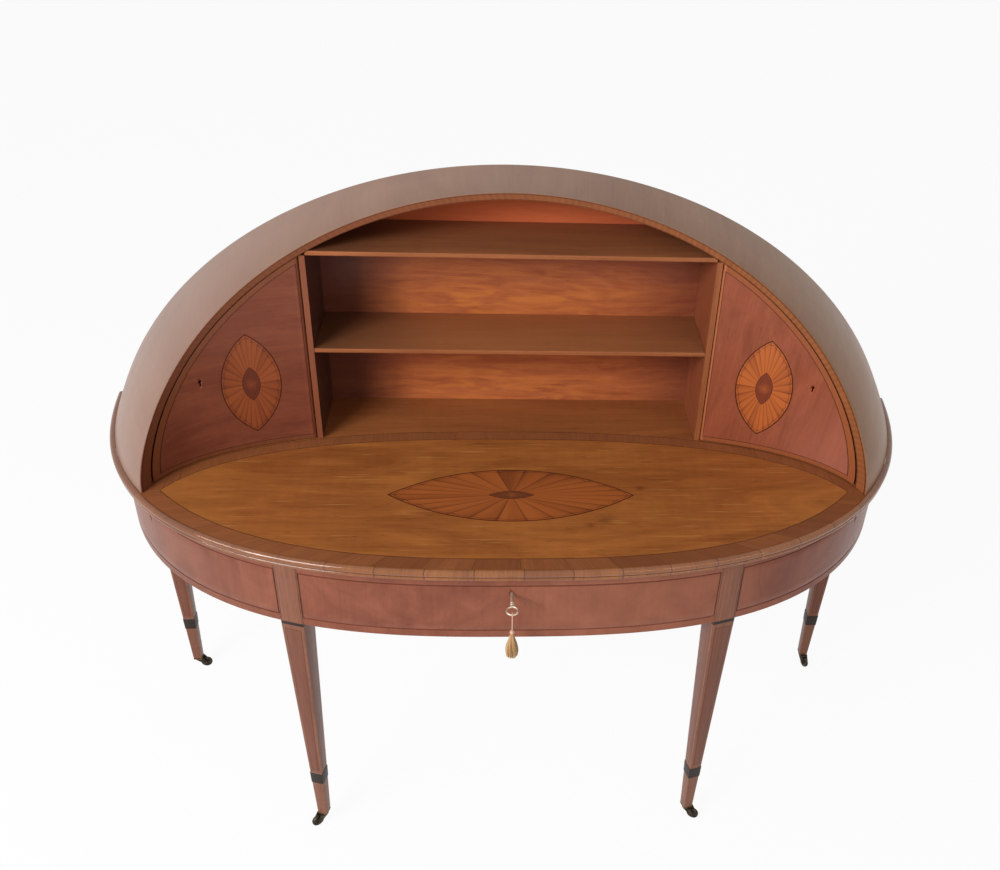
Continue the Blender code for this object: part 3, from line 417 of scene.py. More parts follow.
@dataclass(frozen=True)
class Silk:
    """Twisted yarn: two tones in slanting plies, paler at the ends of long strands."""

    light: Colour
    dark: Colour
    plies: float = 2.0
    pitch: float = 0.004

    def dress(self, name: str) -> Material:
        """A material that reads the marks `run` along the yarn, `round` about it and `strand`."""
        graph = Graph(name)
        run, about, number = graph.mark("run"), graph.mark("round"), graph.mark("strand")
        groove = abs((run / self.pitch + about * self.plies).part() - 0.5) * 2.0
        strand = graph.noise(run * 500.0, about * 14.0, number * 31.0)
        own = graph.own(number * 9.3, 0.4, 0.7)
        share = groove * 0.5 + (strand - 0.5) * 0.9 + (own - 0.5) * 1.8 + 0.1
        share = (share - run.over(0.046, 0.012) * 0.4).clamped()
        look = Look(graph, graph.mix(share, self.light, self.dark), strand * 0.2 + 0.48, strand - groove)
        return graph.finish(look, {"Sheen Weight": 0.35, "Sheen Roughness": 0.4}, 0.0003)


POLISH = {"Coat Weight": 0.05, "Coat Roughness": 0.12, "Specular IOR Level": 0.14}
GLOSS = {"Coat Weight": 0.90, "Coat Roughness": 0.06, "Specular IOR Level": 0.05}
SHEEN = {"Coat Weight": 0.03, "Coat Roughness": 0.24, "Specular IOR Level": 0.10}
BARE = {"Specular IOR Level": 0.25}
STRING_DARK = tint(48, 24, 18)
STRING_SOFT = tint(86, 42, 32)
# Dark of joints, seams and stringing, also used as painted shade in the moulding's groove.
SEAM_AND_SHADE_DARK = tint(72, 34, 22)
GOLDEN = Veneer(
    tint(126, 70, 34), tint(182, 112, 54), 200.0, 5.0, 0.7, 11.0, slow=2.6, warp=2.4, flecks=0.4
)
FLOOR_WOOD = Veneer(tint(122, 68, 38), tint(166, 102, 56), 220.0, 6.0, 0.6, 11.0, flecks=0.3)
BAND = Veneer(tint(112, 64, 37), tint(158, 96, 58), 420.0, 20.0, 0.45, contrast=1.5)
EDGE_WOOD = Veneer(tint(114, 65, 33), tint(160, 99, 54), 420.0, 22.0)
LIPPING = Veneer(tint(126, 72, 42), tint(168, 102, 62), 300.0, 8.0, 0.4)
HOOD_WOOD = Veneer(tint(147, 107, 83), tint(177, 135, 105), 130.0, 5.0, 0.7, 7.0, warp=1.8)
FRIEZE_WOOD = Veneer(tint(110, 58, 43), tint(148, 88, 66), 150.0, 6.0, 0.8, 8.0, slow=6.0, warp=2.2)
BACK_WOOD = Veneer(
    tint(124, 58, 39), tint(188, 108, 66), 110.0, 5.0, 0.66, 15.0, slow=4.0, warp=2.6, contrast=1.7
)
SHELF_WOOD = Veneer(tint(114, 67, 42), tint(152, 95, 60), 220.0, 6.0, 0.55, 12.0, flecks=0.3)
LEG_WOOD = Veneer(tint(102, 64, 49), tint(144, 95, 74), 320.0, 7.0, 0.4)
STAINED = Veneer(tint(104, 64, 42), tint(142, 92, 62), 180.0, 4.0, rough=0.6)
OAK = Veneer(tint(152, 110, 70), tint(198, 154, 106), 420.0, 9.0, 0.35, rough=0.62)
# The left cheek is the right's wood painted much darker, as painted shade inside the recess.
CHEEK_WOOD = {
    side: Veneer(dark, light, 220.0, 6.0, 0.6, 12.0)
    for side, dark, light in (
        (Side.RIGHT, tint(118, 60, 38), tint(152, 86, 56)),
        (Side.LEFT, tint(62, 38, 31), tint(84, 51, 41)),
    )
}
# The left door's tones are the right's painted darker, as painted shade.
DOOR_WOOD = {
    side: Veneer(dark, light, 200.0, 6.0, 0.7, 12.0, slow=4.0, warp=2.2, flecks=0.2)
    for side, dark, light in (
        (Side.RIGHT, tint(120, 62, 43), tint(157, 85, 59)),
        (Side.LEFT, tint(102, 53, 40), tint(137, 76, 54)),
    )
}
# Margin and hinge strip are likewise painted darker on the left door, as shade.
DOOR_MARGIN = {Side.RIGHT: tint(152, 82, 50), Side.LEFT: tint(104, 56, 40)}
HINGE_STRIP = {Side.RIGHT: tint(180, 106, 70), Side.LEFT: tint(146, 84, 62)}
EBONY = Ebony()
BRONZE = Metal(tint(96, 84, 66), tint(44, 40, 36), rough=0.42, age=0.7)
PLATE_BRASS = Metal(tint(150, 122, 84), tint(88, 72, 52), rough=0.4, age=0.6)
BRASS = Metal(tint(206, 170, 104), tint(128, 98, 54), rough=0.34, age=0.45)
STEEL = Metal(tint(212, 190, 172), tint(158, 134, 116), rough=0.34, age=0.15, shine=0.6)
SILK = Silk(tint(224, 180, 122), tint(144, 98, 52))
CORD_SILK = Silk(tint(228, 190, 162), tint(180, 132, 106))


@dataclass(frozen=True)
class Fan:
    """A fan inlay in a pointed oval: petals round a dark core, inside a black line.

    The pointed oval is where two equal circles overlap. With half length a and half width b their
    radius is r = (aa + bb) / 2b, and the distance inside the edge is
    r - length(along, |across| + r - b).
    """

    half_long: float
    half_wide: float
    core_long: float
    core_wide: float
    petals: int
    pale: Colour
    burnt: Colour
    core: Colour
    wedge: float = 0.0

    @staticmethod
    def inside(along: Value, across: Value, half_long: float, half_wide: float) -> Value:
        """Distance inside a pointed oval's edge."""
        radius = (half_long**2 + half_wide**2) / (2.0 * half_wide)
        far = abs(across) + (radius - half_wide)
        return radius - (along * along + far * far).root()

    def over(self, base: Look, along: Value, across: Value) -> Look:
        """A look with this fan let into it.

        Args:
            base: the wood around it.
            along: metres from the fan's middle along its length.
            across: metres from its middle across it.

        Returns:
            The look with the fan.
        """
        graph = base.graph
        inside = self.inside(along, across, self.half_long, self.half_wide)
        core = self.inside(along, across, self.core_long, self.core_wide)
        turn = graph.math("ARCTAN2", across / self.half_wide, along / self.half_long) / TURN
        petal = turn * self.petals + 100.0
        in_petal, number = petal.part(), petal.floor()
        radial = (along * along + across * across).root()
        grain = graph.noise(radial * 30.0, in_petal * 9.0, number * 3.7, 4.0)
        near_edge = (1.0 - inside / (0.35 * self.half_wide)).clamped()
        share = in_petal**3.0 * 0.55 + near_edge**2.0 * 0.25
        share = share + (grain - 0.5) * 0.6 + (graph.own(number * 5.3, 0.5, 1.5) - 0.5) * 0.9
        if self.wedge:
            share = share + (1.2 - 3.0 * abs(along) / (abs(across) + 0.004)).clamped() * self.wedge
        scallop = inside - 0.0035 - abs(in_petal - 0.5) * 0.006
        tips = scallop.line(0.0, 0.0012) * inside.over(0.0)
        rays = abs((turn * self.petals * 2.0).part() - 0.5)
        pale_core = tuple(1.6 * c for c in self.core)
        heart = graph.mix((rays * 1.2 + (grain - 0.5)).clamped(), self.core, pale_core)
        # a paler patch in the middle of the core
        paled = (1.0 - radial / (0.9 * self.core_wide)).clamped() * grain.over(0.46, 0.12)
        fan = Look(graph, graph.mix(share.clamped(), self.pale, self.burnt), base.rough, grain * 0.3)
        fan = fan.stained(
            (petal.seam(0.10, 0.05) * 0.40, SEAM_AND_SHADE_DARK),
            (tips * 0.55, SEAM_AND_SHADE_DARK),
            (core.over(0.0, 0.0006), heart),
            (core.line(0.0, 0.0012) * 0.9, SEAM_AND_SHADE_DARK),
            (core.line(0.35 * self.core_wide, 0.0009) * 0.5, SEAM_AND_SHADE_DARK),
            (inside.line(0.0, 0.0023), SEAM_AND_SHADE_DARK),
            (paled * 0.7, self.pale),
        )
        return base.under(inside.over(-0.0010, 0.0005), fan)


TOP_FAN = Fan(
    0.217, 0.0735, 0.040, 0.011, 26, tint(164, 90, 44), tint(116, 60, 33), tint(104, 56, 33), wedge=0.5
)
# The left door's fan is painted darker, as painted shade.
DOOR_FAN = {
    side: Fan(0.100, 0.0515, 0.034, 0.0150, 28, pale, burnt, core)
    for side, pale, burnt, core in (
        (Side.RIGHT, tint(182, 98, 50), tint(122, 60, 36), tint(112, 54, 36)),
        (Side.LEFT, tint(144, 76, 44), tint(102, 50, 33), tint(92, 46, 33)),
    )
}


class Skin:
    """Turns grids of points into closed mesh pieces."""

    @staticmethod
    def loft(
        name: str, rings: Array, marks: dict[str, Array], closed: bool = False, crease: float = 38.0
    ) -> Piece:
        """A skin through equal rings: point (i, j) joins (i+1, j) and (i, j+1), rings run round.

        Args:
            name: the piece's name.
            rings: stations by points by 3.
            marks: numbers at each point, by name.
            closed: joins the last ring to the first, else flat faces close both ends.
            crease: edges sharper than this many degrees stay sharp.

        Returns:
            The piece, at the origin, its faces outwards.
        """
        stations, count = rings.shape[:2]
        i = np.arange(stations if closed else stations - 1)[:, None]
        j = np.arange(count)[None, :]
        here, there, k = i * count, ((i + 1) % stations) * count, (j + 1) % count
        faces = np.stack([here + j, here + k, there + k, there + j], -1).reshape(-1, 4).tolist()
        if not closed:
            faces.append(list(range(count))[::-1])
            faces.append(list(range((stations - 1) * count, stations * count)))
        flat = {key: np.broadcast_to(value, rings.shape[:2]).ravel() for key, value in marks.items()}
        return Skin.piece(name, rings.reshape(-1, 3), faces, flat, crease)

    @staticmethod
    def piece(
        name: str, points: Array, faces: Sequence[Sequence[int]], marks: dict[str, Array], crease: float
    ) -> Piece:
        """A mesh object from points, faces and marks.

        Args:
            name: the piece's name.
            points: points by 3.
            faces: the numbers of each face's points.
            marks: one number for each point, by name.
            crease: edges sharper than this many degrees stay sharp.

        Returns:
            The piece, its faces turned so that the volume that they enclose is positive.
        """
        mesh = bpy.data.meshes.new(name)
        mesh.from_pydata(points.tolist(), [], faces)
        mesh.calc_loop_triangles()
        triangles = np.empty(3 * len(mesh.loop_triangles), np.int32)
        mesh.loop_triangles.foreach_get("vertices", triangles)
        a, b, c = points[triangles.reshape(-1, 3)].transpose(1, 0, 2)
        if np.einsum("ij,ij->", a, np.cross(b, c)) < 0.0:
            mesh.flip_normals()
        for key, value in marks.items():
            layer = mesh.attributes.new(key, "FLOAT", "POINT")
            layer.data.foreach_set("value", np.ascontiguousarray(value, np.float32))
        mesh.polygons.foreach_set("use_smooth", np.ones(len(mesh.polygons), bool))
        mesh.set_sharp_from_angle(angle=math.radians(crease))
        mesh.update()
        made = bpy.data.objects.new(name, mesh)
        bpy.context.scene.collection.objects.link(made)
        return made

    @staticmethod
    def turned(
        name: str,
        profile: Array,
        sides: int,
        centre: Sequence[float],
        axis: Sequence[float],
        closed: bool,
    ) -> Piece:
        """A profile of (radius, height) turned about an axis: radius times two crossing directions.

        Args:
            name: the piece's name.
            profile: (radius, height) pairs.
            sides: points round.
            centre: a point on the axis where height is 0.
            axis: the axis.
            closed: the profile is a loop.

        Returns:
            The piece.
        """
        way = np.asarray(axis, float) / np.linalg.norm(axis)
        helper = np.array([0.0, 0.0, 1.0]) if abs(way[2]) < 0.9 else np.array([1.0, 0.0, 0.0])
        first = np.cross(helper, way)
        first /= np.linalg.norm(first)
        angle = round_steps(sides)
        spokes = np.cos(angle)[:, None] * first + np.sin(angle)[:, None] * np.cross(way, first)
        radius, height = profile[:, 0, None, None], profile[:, 1, None, None]
        rings = radius * spokes + height * way + np.asarray(centre)
        marks = {"run": profile[:, 1:2], "round": angle[None, :] / TURN}
        return Skin.loft(name, rings, marks, closed)

    @staticmethod
    def loop(
        across: tuple[float, float], up: tuple[float, float], radius: float, rows: int, steps: int = 3
    ) -> Array:
        """A rounded rectangle, from the low side's foot upwards and round.

        Args:
            across: where its two sides stand.
            up: its foot and its top.
            radius: radius of its corners.
            rows: points up each side.
            steps: points round each corner.

        Returns:
            Its points, by 2.
        """
        (low, high), (base, top) = across, up
        rise = np.linspace(base + radius, top - radius, rows + 2)[1:-1]
        corner = np.linspace(0.0, QUARTER, steps)
        bends = [
            arc(start - corner, (x, y), (radius, radius))
            for x, y, start in (
                (low + radius, top - radius, math.pi),
                (high - radius, top - radius, QUARTER),
                (high - radius, base + radius, 0.0),
                (low + radius, base + radius, -QUARTER),
            )
        ]
        left = np.stack([np.full(rows, low), rise], -1)
        right = np.stack([np.full(rows, high), rise[::-1]], -1)
        return np.concatenate([left, bends[0], bends[1], right, bends[2], bends[3]])


@dataclass(frozen=True)
class Plan:
    """Plan and arch lines of the desk, as in the solids. Lengths in metres."""

    rim_half_width: float = 0.780
    rim_semi_depth: float = 0.6907
    rim_centre_behind: float = 0.1513
    rim_power: float = 2.71
    table_height: float = 0.735
    top_thick: float = 0.0206
    edge_width: float = 0.0095
    frieze_height: float = 0.140
    top_rail: float = 0.0225
    bottom_rail: float = 0.0145
    frieze_inset: float = 0.018
    rail_thick: float = 0.020
    front_thick: float = 0.020
    keyhole_down: float = 0.0155
    leg_top: float = 0.042
    leg_foot: float = 0.0185
    front_leg_x: float = 0.375
    rear_leg_back: float = 0.017
    rear_leg_inset: float = 0.0125
    hood_inset: float = 0.010
    hood_rise: float = 0.481
    hood_thick: float = 0.0125
    arch_power: float = 1.9
    back_centre_drop: float = 0.229
    line_back: float = 0.135
    line_half: float = 0.650
    line_depth: float = 0.2748
    line_power: float = 2.5
    partition_x: float = 0.3525
    partition_thick: float = 0.010
    door_thick: float = 0.016
    door_recess: float = 0.003
    door_proud: float = 0.0016
    door_clear: float = 0.0018
    key_out: float = 0.0305
    ring_radius: float = 0.0094
    ring_wire: float = 0.0016
    gap: float = 0.0003
    drawer_clear: float = 0.0012
    dense: int = 1600

    @property
    def back_y(self) -> float:
        """Depth of the flat back."""
        reach = self.key_out + 2.0 * (self.ring_radius + self.ring_wire)
        return 0.5 * (self.rim_semi_depth - self.rim_centre_behind - self.frieze_inset + reach)

    @property
    def rim_centre_y(self) -> float:
        """Depth of the oval's centre."""
        return self.back_y + self.rim_centre_behind

    @property
    def under(self) -> float:
        """Height of the top's underside."""
        return self.table_height - self.top_thick

    @property
    def frieze_low(self) -> float:
        """Height of the frieze's lower edge."""
        return self.under - self.frieze_height

    @property
    def drawer_low(self) -> float:
        """Height of the drawer fronts' lower edges."""
        return self.frieze_low + self.bottom_rail + self.gap + self.drawer_clear

    @property
    def drawer_high(self) -> float:
        """Height of the drawer fronts' upper edges."""
        return self.under - self.top_rail - self.drawer_clear

    @property
    def keyhole_z(self) -> float:
        """Height of the drawers' keyholes."""
        return self.drawer_high - self.keyhole_down

    @property
    def hood_base(self) -> float:
        """Height of the hood's foot."""
        return self.table_height + self.gap

    @staticmethod
    def even(points: Array, count: int) -> Array:
        """A polyline walked in equal steps."""
        reach = walked(points)
        steps = np.linspace(0.0, reach[-1], count)
        return np.stack([np.interp(steps, reach, points[:, k]) for k in range(2)], -1)

    @staticmethod
    def trimmed(points: Array, through: Sequence[float], normal: Sequence[float]) -> Array:
        """The stretch of a polyline on one side of a line.

        Args:
            points: the polyline.
            through: a point of the line.
            normal: points to the side that is kept.

        Returns:
            The kept points, with new ends on the line.
        """
        side = (points - np.asarray(through)) @ np.asarray(normal)
        first, last = np.flatnonzero(side >= 0.0)[[0, -1]]
        ends = []
        for here, there in ((first, first - 1), (last, last + 1)):
            share = side[here] / (side[here] - side[there]) if 0 <= there < len(points) else None
            ends.append([] if share is None else [points[here] + share * (points[there] - points[here])])
        return np.array([*ends[0], *points[first : last + 1], *ends[1]])

    def rim_curve(self, inset: float) -> Array:
        """The drawn-in oval from the right back corner round the front to the left."""
        angle = np.linspace(0.0, math.pi, self.dense + 1)
        cos, sin = np.cos(angle), np.abs(np.sin(angle))
        share = 2.0 / self.rim_power
        x = (self.rim_half_width - inset) * np.sign(cos) * np.abs(cos) ** share
        y = self.rim_centre_y - (self.rim_semi_depth - inset) * sin**share
        return self.trimmed(np.stack([x, y], -1), (0.0, self.back_y), (0.0, -1.0))

    def rim_x(self, inset: float, y: Any) -> Any:
        """How far the drawn-in oval reaches to the side at a depth."""
        rise = (self.rim_centre_y - y) / (self.rim_semi_depth - inset)
        return (self.rim_half_width - inset) * bowed(rise, self.rim_power)

    def rim_y(self, inset: float, x: Any) -> Any:
        """How far the drawn-in oval reaches to the front at a place across."""
        reach = np.abs(x) / (self.rim_half_width - inset)
        return self.rim_centre_y - (self.rim_semi_depth - inset) * bowed(reach, self.rim_power)

    def rim_inset(self, points: Array) -> Array:
        """How far each plan point lies inside the rim, found by halving.

        Args:
            points: plan points in any grid.

        Returns:
            The distances, in the same grid.
        """
        low = np.zeros(points.shape[:-1])
        high = np.full(points.shape[:-1], 0.55)
        x, y = np.abs(points[..., 0]), np.abs(self.rim_centre_y - points[..., 1])
        for _ in range(40):
            middle = 0.5 * (low + high)
            wide, deep = self.rim_half_width - middle, self.rim_semi_depth - middle
            within = (x / wide) ** self.rim_power + (y / deep) ** self.rim_power < 1.0
            low, high = np.where(within, middle, low), np.where(within, high, middle)
        return low

    def leg_out(self) -> Array:
        """Outward direction of the right front leg: the slope of the oval there."""
        wide, deep = self.rim_half_width - self.frieze_inset, self.rim_semi_depth - self.frieze_inset
        rise = (self.rim_centre_y - self.rim_y(self.frieze_inset, self.front_leg_x)) / deep
        across = (self.front_leg_x / wide) ** (self.rim_power - 1.0) / wide
        forward = rise ** (self.rim_power - 1.0) / deep
        return np.array([across, -forward]) / math.hypot(across, forward)

    def leg_along(self) -> Array:
        """Direction along the frieze at the right front leg, away from the middle."""
        out = self.leg_out()
        return np.array([-out[1], out[0]])

    def front_leg(self) -> Array:
        """Plan centre of the right front leg."""
        face = np.array([self.front_leg_x, self.rim_y(self.frieze_inset, self.front_leg_x)])
        return face - 0.5 * self.leg_top * self.leg_out()

    def rear_leg(self) -> Array:
        """Plan centre of the right rear leg."""
        half = 0.5 * self.leg_top
        y = self.back_y - self.rear_leg_back - half
        return np.array([self.rim_x(self.frieze_inset, y - half) - self.rear_leg_inset - half, y])

    def frieze_stretch(self, part: Stretch, inset: float, gap: float, count: int) -> Array:
        """Points of the drawn-in oval between the legs.

        Args:
            part: between the front legs, or at the right between front and rear leg.
            inset: how far the oval is drawn in from the rim.
            gap: room beside the legs.
            count: how many points.

        Returns:
            The points, in equal steps.
        """
        curve = self.rim_curve(inset)
        along = self.leg_along()
        off = (0.5 * self.leg_top + gap) * along
        if part is Stretch.CENTRE:
            through, flip = self.front_leg() - off, np.array([-1.0, 1.0])
            curve = self.trimmed(self.trimmed(curve, through, -along), through * flip, -along * flip)
        else:
            curve = self.trimmed(curve[curve[:, 0] > 0.0], self.front_leg() + off, along)
            front = self.rear_leg()[1] - 0.5 * self.leg_top
            curve = self.trimmed(curve, (0.0, front - gap), (0.0, -1.0))
        return self.even(curve, count)

    def front_line_y(self, x: Any) -> Any:
        """Plan of the hood's front and the doors."""
        bow = 1.0 - bowed(np.abs(x) / self.line_half, self.line_power)
        return self.back_y - self.line_back - self.line_depth * bow

    def front_line_slope(self, x: Any) -> Any:
        """Slope of the hood's front line."""
        step = 1e-5
        return (self.front_line_y(x + step) - self.front_line_y(x - step)) / (2.0 * step)

    def foot_x(self) -> float:
        """Where the hood's front line meets its base line, found by halving."""
        low, high = 0.5 * self.line_half, min(self.line_half, self.rim_half_width - self.hood_inset)
        for _ in range(60):
            middle = 0.5 * (low + high)
            if self.front_line_y(middle) > self.rim_y(self.hood_inset, middle):
                low = middle
            else:
                high = middle
        return low

    def front_arch(self, inset: Any, share: Any) -> tuple[Array, Array]:
        """X and Z of the drawn-in front arch, share 0 at the right foot and 1 at the left."""
        angle = math.pi * np.asarray(share, float)
        cos, sin = np.cos(angle), np.abs(np.sin(angle))
        power = 2.0 / self.arch_power
        x = (self.foot_x() - inset) * np.sign(cos) * np.abs(cos) ** power
        return x, self.hood_base + (self.hood_rise - inset) * sin**power

    def back_arch(self, inset: Any, share: Any) -> tuple[Array, Array]:
        """X and Z of the drawn-in back arch, the upper part of an ellipse."""
        drop = self.back_centre_drop
        tall = self.hood_rise + drop
        wide = self.rim_x(self.hood_inset, self.back_y) / math.sqrt(1.0 - (drop / tall) ** 2)
        first = np.arcsin(drop / (tall - inset))
        angle = first + (math.pi - 2.0 * first) * np.asarray(share, float)
        return (wide - inset) * np.cos(angle), self.hood_base - drop + (tall - inset) * np.sin(angle)

    def hood_point(self, inset: Any, share: Any, depth: Any) -> Array:
        """Points of the hood's skin: the two arches, joined straight in height and bowed in plan.

        Args:
            inset: how far inside the outer skin.
            share: 0 at the right foot and 1 at the left.
            depth: 0 at the front arch and 1 at the back arch.

        Returns:
            The points, in the grid that the three numbers span.
        """
        inset, share, depth = np.broadcast_arrays(inset, share, depth)
        front_x, front_z = self.front_arch(inset, share)
        back_x, back_z = self.back_arch(inset, share)
        foot = self.foot_x()
        base_y = self.back_y + (1.0 - depth) * (self.front_line_y(foot) - self.back_y)
        wide = self.rim_x(self.hood_inset, self.back_y)
        bow = (self.rim_x(self.hood_inset, base_y) - foot) / (wide - foot)
        x = front_x + bow * (back_x - front_x)
        y = self.back_y + (1.0 - depth) * (self.front_line_y(front_x) - self.back_y)
        return np.stack([x, y, front_z + depth * (back_z - front_z)], -1)


PLAN = Plan()


def box_side(node: str, axis: int, end: int) -> float:
    """One side of a CAD node's box: end 0 is its low side and 1 its high side."""
    return float(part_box(node)[end][axis])


def dress(node: str, material: Material) -> None:
    """Gives a CAD node that stays a finished material."""
    slots = frame["nodes"][node].data.materials
    slots.clear()
    slots.append(material)
    LOG.info("%s dressed in %s", node, material.name)


def settle(piece: Piece, body: str, slot: str, material: Material, *nodes: str) -> None:
    """Dresses a new piece, sets it on its body and hides the nodes it stands for.

    Args:
        piece: the new piece.
        body: the CAD body that it rides on.
        slot: the record's material slot; not used.
        material: its finish.
        nodes: CAD nodes that it replaces.
    """
    piece.data.materials.append(material)
    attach(piece, body)
    if nodes:
        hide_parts(*nodes)
    LOG.info("%s on %s, %d faces", piece.name, body, len(piece.data.polygons))


def keyhole(piece: Piece, centre: Sequence[float], out: Sequence[float]) -> None:
    """Cuts a round hole with a slot below it through a piece.

    The outline is an arc of the hole's circle closed by the slot's foot, drawn straight along `out`.

    Args:
        piece: what is cut.
        centre: middle of the round hole.
        out: plan direction of the hole.
    """
    radius, half, drop, depth = 0.0032, 0.0013, 0.0095, 0.03
    start = math.asin(half / radius) - QUARTER
    angle = np.linspace(start, start + 2.0 * (math.pi - math.asin(half / radius)), 25)
    outline = np.concatenate([arc(angle, (0.0, 0.0), (radius, radius)), [[-half, -drop], [half, -drop]]])
    way = np.array([out[0], out[1], 0.0])
    across = np.array([-out[1], out[0], 0.0])
    flat = outline[:, :1] * across + outline[:, 1:] * np.array([0.0, 0.0, 1.0]) + np.asarray(centre)
    cutter = Skin.loft("keyhole_cutter", np.stack([flat - depth * way, flat + depth * way]), {})
    cut = piece.modifiers.new("keyhole", "BOOLEAN")
    cut.operation, cut.solver, cut.object = "DIFFERENCE", "EXACT", cutter
    shaped = piece.evaluated_get(bpy.context.evaluated_depsgraph_get())
    mesh, old = bpy.data.meshes.new_from_object(shaped), piece.data
    piece.modifiers.clear()
    piece.data = mesh
    mesh.name = piece.name
    bpy.data.meshes.remove(old)
    bpy.data.objects.remove(cutter, do_unlink=True)


@dataclass
class TableTop:
    """The inlaid top and its moulded edge."""

    plan: Plan
    border: float = 0.0355
    back_band: float = 0.025
    block: float = 0.080
    fan_back: float = 0.333
    middle_back: float = 0.27
    nosing: float = 0.0066
    bead: float = 0.0036
    bead_in: float = 0.0016
    bead_down: float = 0.0165
    foot_in: float = 0.006
    groove_down: float = 0.0128
    stations: int = 320
    circles: int = 90
    knots: tuple[tuple[float, float, float], ...] = (
        (0.160, -0.116, 0.026),
        (0.134, -0.130, 0.014),
        (0.231, -0.025, 0.015),
    )

    def build(self) -> None:
        """Makes the field and the moulding."""
        self.build_field()
        self.build_moulding()

    def build_field(self) -> None:
        """The top: its outline shrunk towards a middle point, ring by ring, then down and back in."""
        plan = self.plan
        rim = plan.even(plan.rim_curve(plan.edge_width), self.stations)
        back = plan.even(np.array([rim[-1], rim[0]]), self.stations // 2)[1:-1]
        outline = np.concatenate([rim, back])
        middle = np.array([0.0, plan.back_y - self.middle_back])
        least, below = 0.01, 6
        shrink = [np.linspace(least, 1.0, self.circles), [1.0], np.linspace(1.0, least, below)]
        height = np.repeat([plan.table_height, plan.under], [self.circles, below + 1])
        plane = middle + np.concatenate(shrink)[:, None, None] * (outline - middle)
        slope = plan.front_line_slope(plane[..., 0])
        line = (plan.front_line_y(plane[..., 0]) - plane[..., 1]) / np.sqrt(1.0 + slope**2)
        run = np.concatenate([walked(rim), np.zeros(len(back))])
        marks = {"rim_in": plan.rim_inset(plane), "line_out": line, "rim_run": run[None, :]}
        piece = Skin.loft("top_field", lifted(plane, height[:, None]), marks)
        settle(piece, "desk", "top_veneer", self.field_finish(), "table_top")

    def field_finish(self) -> Material:
        """Golden lens with its fan, crossbanded borders and the plainer floor under the hood."""
        graph = Graph("inlaid_top")
        x, y, _ = graph.place()
        rim, run, line = (graph.mark(name) for name in ("rim_in", "rim_run", "line_out"))
        blocks = run / self.block
        own = graph.own(blocks.floor() * 6.1, 0.7, 0.4)
        look = BAND.look(graph, rim, run, blocks.floor() * 1.7).stained(
            (((own - 0.45) * 1.5).clamped(), tint(98, 54, 32)),
            (blocks.seam(0.016, 0.005) * 0.4, STRING_DARK),
        )
        inner, ahead = rim.over(self.border), line.over(self.back_band)
        back = BAND.look(graph, line, x, (x / self.block).floor() * 2.3)
        look = look.under(inner * (1.0 - ahead), back)
        look = look.under(inner * ahead, self.panel(graph, x, y))
        look = look.under(1.0 - line.over(0.0), FLOOR_WOOD.look(graph, x, y, 6.0))
        string = rim.line(self.border, 0.0013) * ahead
        string = string.most(line.line(self.back_band, 0.0013) * inner).most(line.line(0.0, 0.0011))
        spots = graph.noise(x * 45.0, y * 60.0, 8.0, 4.0, 0.75, 0.6).over(0.71, 0.05)
        look = look.stained((string * 0.85, STRING_DARK), (spots * 0.4, STRING_DARK))
        return graph.finish(look, POLISH, TOP_RELIEF)

    def panel(self, graph: Graph, x: Value, y: Value) -> Look:
        """Golden wood with paler ends, clouds, glints, knots and the fan.

        Args:
            graph: the material's nodes.
            x: place across the desk.
            y: depth.

        Returns:
            The panel's look.
        """
        cloud = graph.noise(x * 5.0 + y * 3.0, y * 9.0, 2.7, 3.0, 0.55, 0.8).over(0.56, 0.3)
        glints = graph.noise(x * 9.0, y * 230.0, 15.0, 2.0, 0.5).over(0.66, 0.07)
        ragged = graph.noise(x * 150.0, y * 220.0, 5.0)
        look = GOLDEN.look(graph, x, y, 1.0).stained(
            (abs(x).over(0.56, 0.20) * 0.35, tint(188, 126, 62)),
            (cloud * 0.28, tint(120, 60, 34)),
            (glints * 0.3, tint(212, 154, 88)),
        )
        for knot_x, knot_y, size in self.knots:
            wide, deep = x - knot_x, (y - knot_y) * 1.4
            away = (wide * wide + deep * deep).root() / size + ragged * 1.2
            look = look.stained(((1.0 - away.over(1.1, 0.8)) * 0.55, tint(92, 48, 28)))
        return TOP_FAN.over(look, x, y - (self.plan.back_y - self.fan_back))

    def build_moulding(self) -> None:
        """The moulded edge: a nosing, a groove and a lower bead carried round the rim."""
        plan = self.plan
        inner, foot = plan.edge_width - plan.gap, -plan.top_thick
        nose = np.linspace(QUARTER, -0.32 * math.pi, 12)
        bead = np.linspace(0.42 * math.pi, -QUARTER, 9)
        section = np.concatenate(
            [
                [[inner, 0.0]],
                arc(nose, (self.nosing, -self.nosing), (-self.nosing, self.nosing)),
                arc(bead, (self.bead_in + self.bead, -self.bead_down), (-self.bead, self.bead)),
                [[self.foot_in, foot], [inner, foot]],
            ]
        )
        paths = np.stack([plan.even(plan.rim_curve(d), self.stations) for d in section[:, 0]], 1)
        rings = lifted(paths, plan.table_height + section[:, 1])
        marks = {"run": walked(paths[:, 1])[:, None], "rise": section[None, :, 1]}
        piece = Skin.loft("moulded_edge", rings, marks, crease=50.0)
        settle(piece, "desk", "crossband", self.moulding_finish(), "edge_moulding")

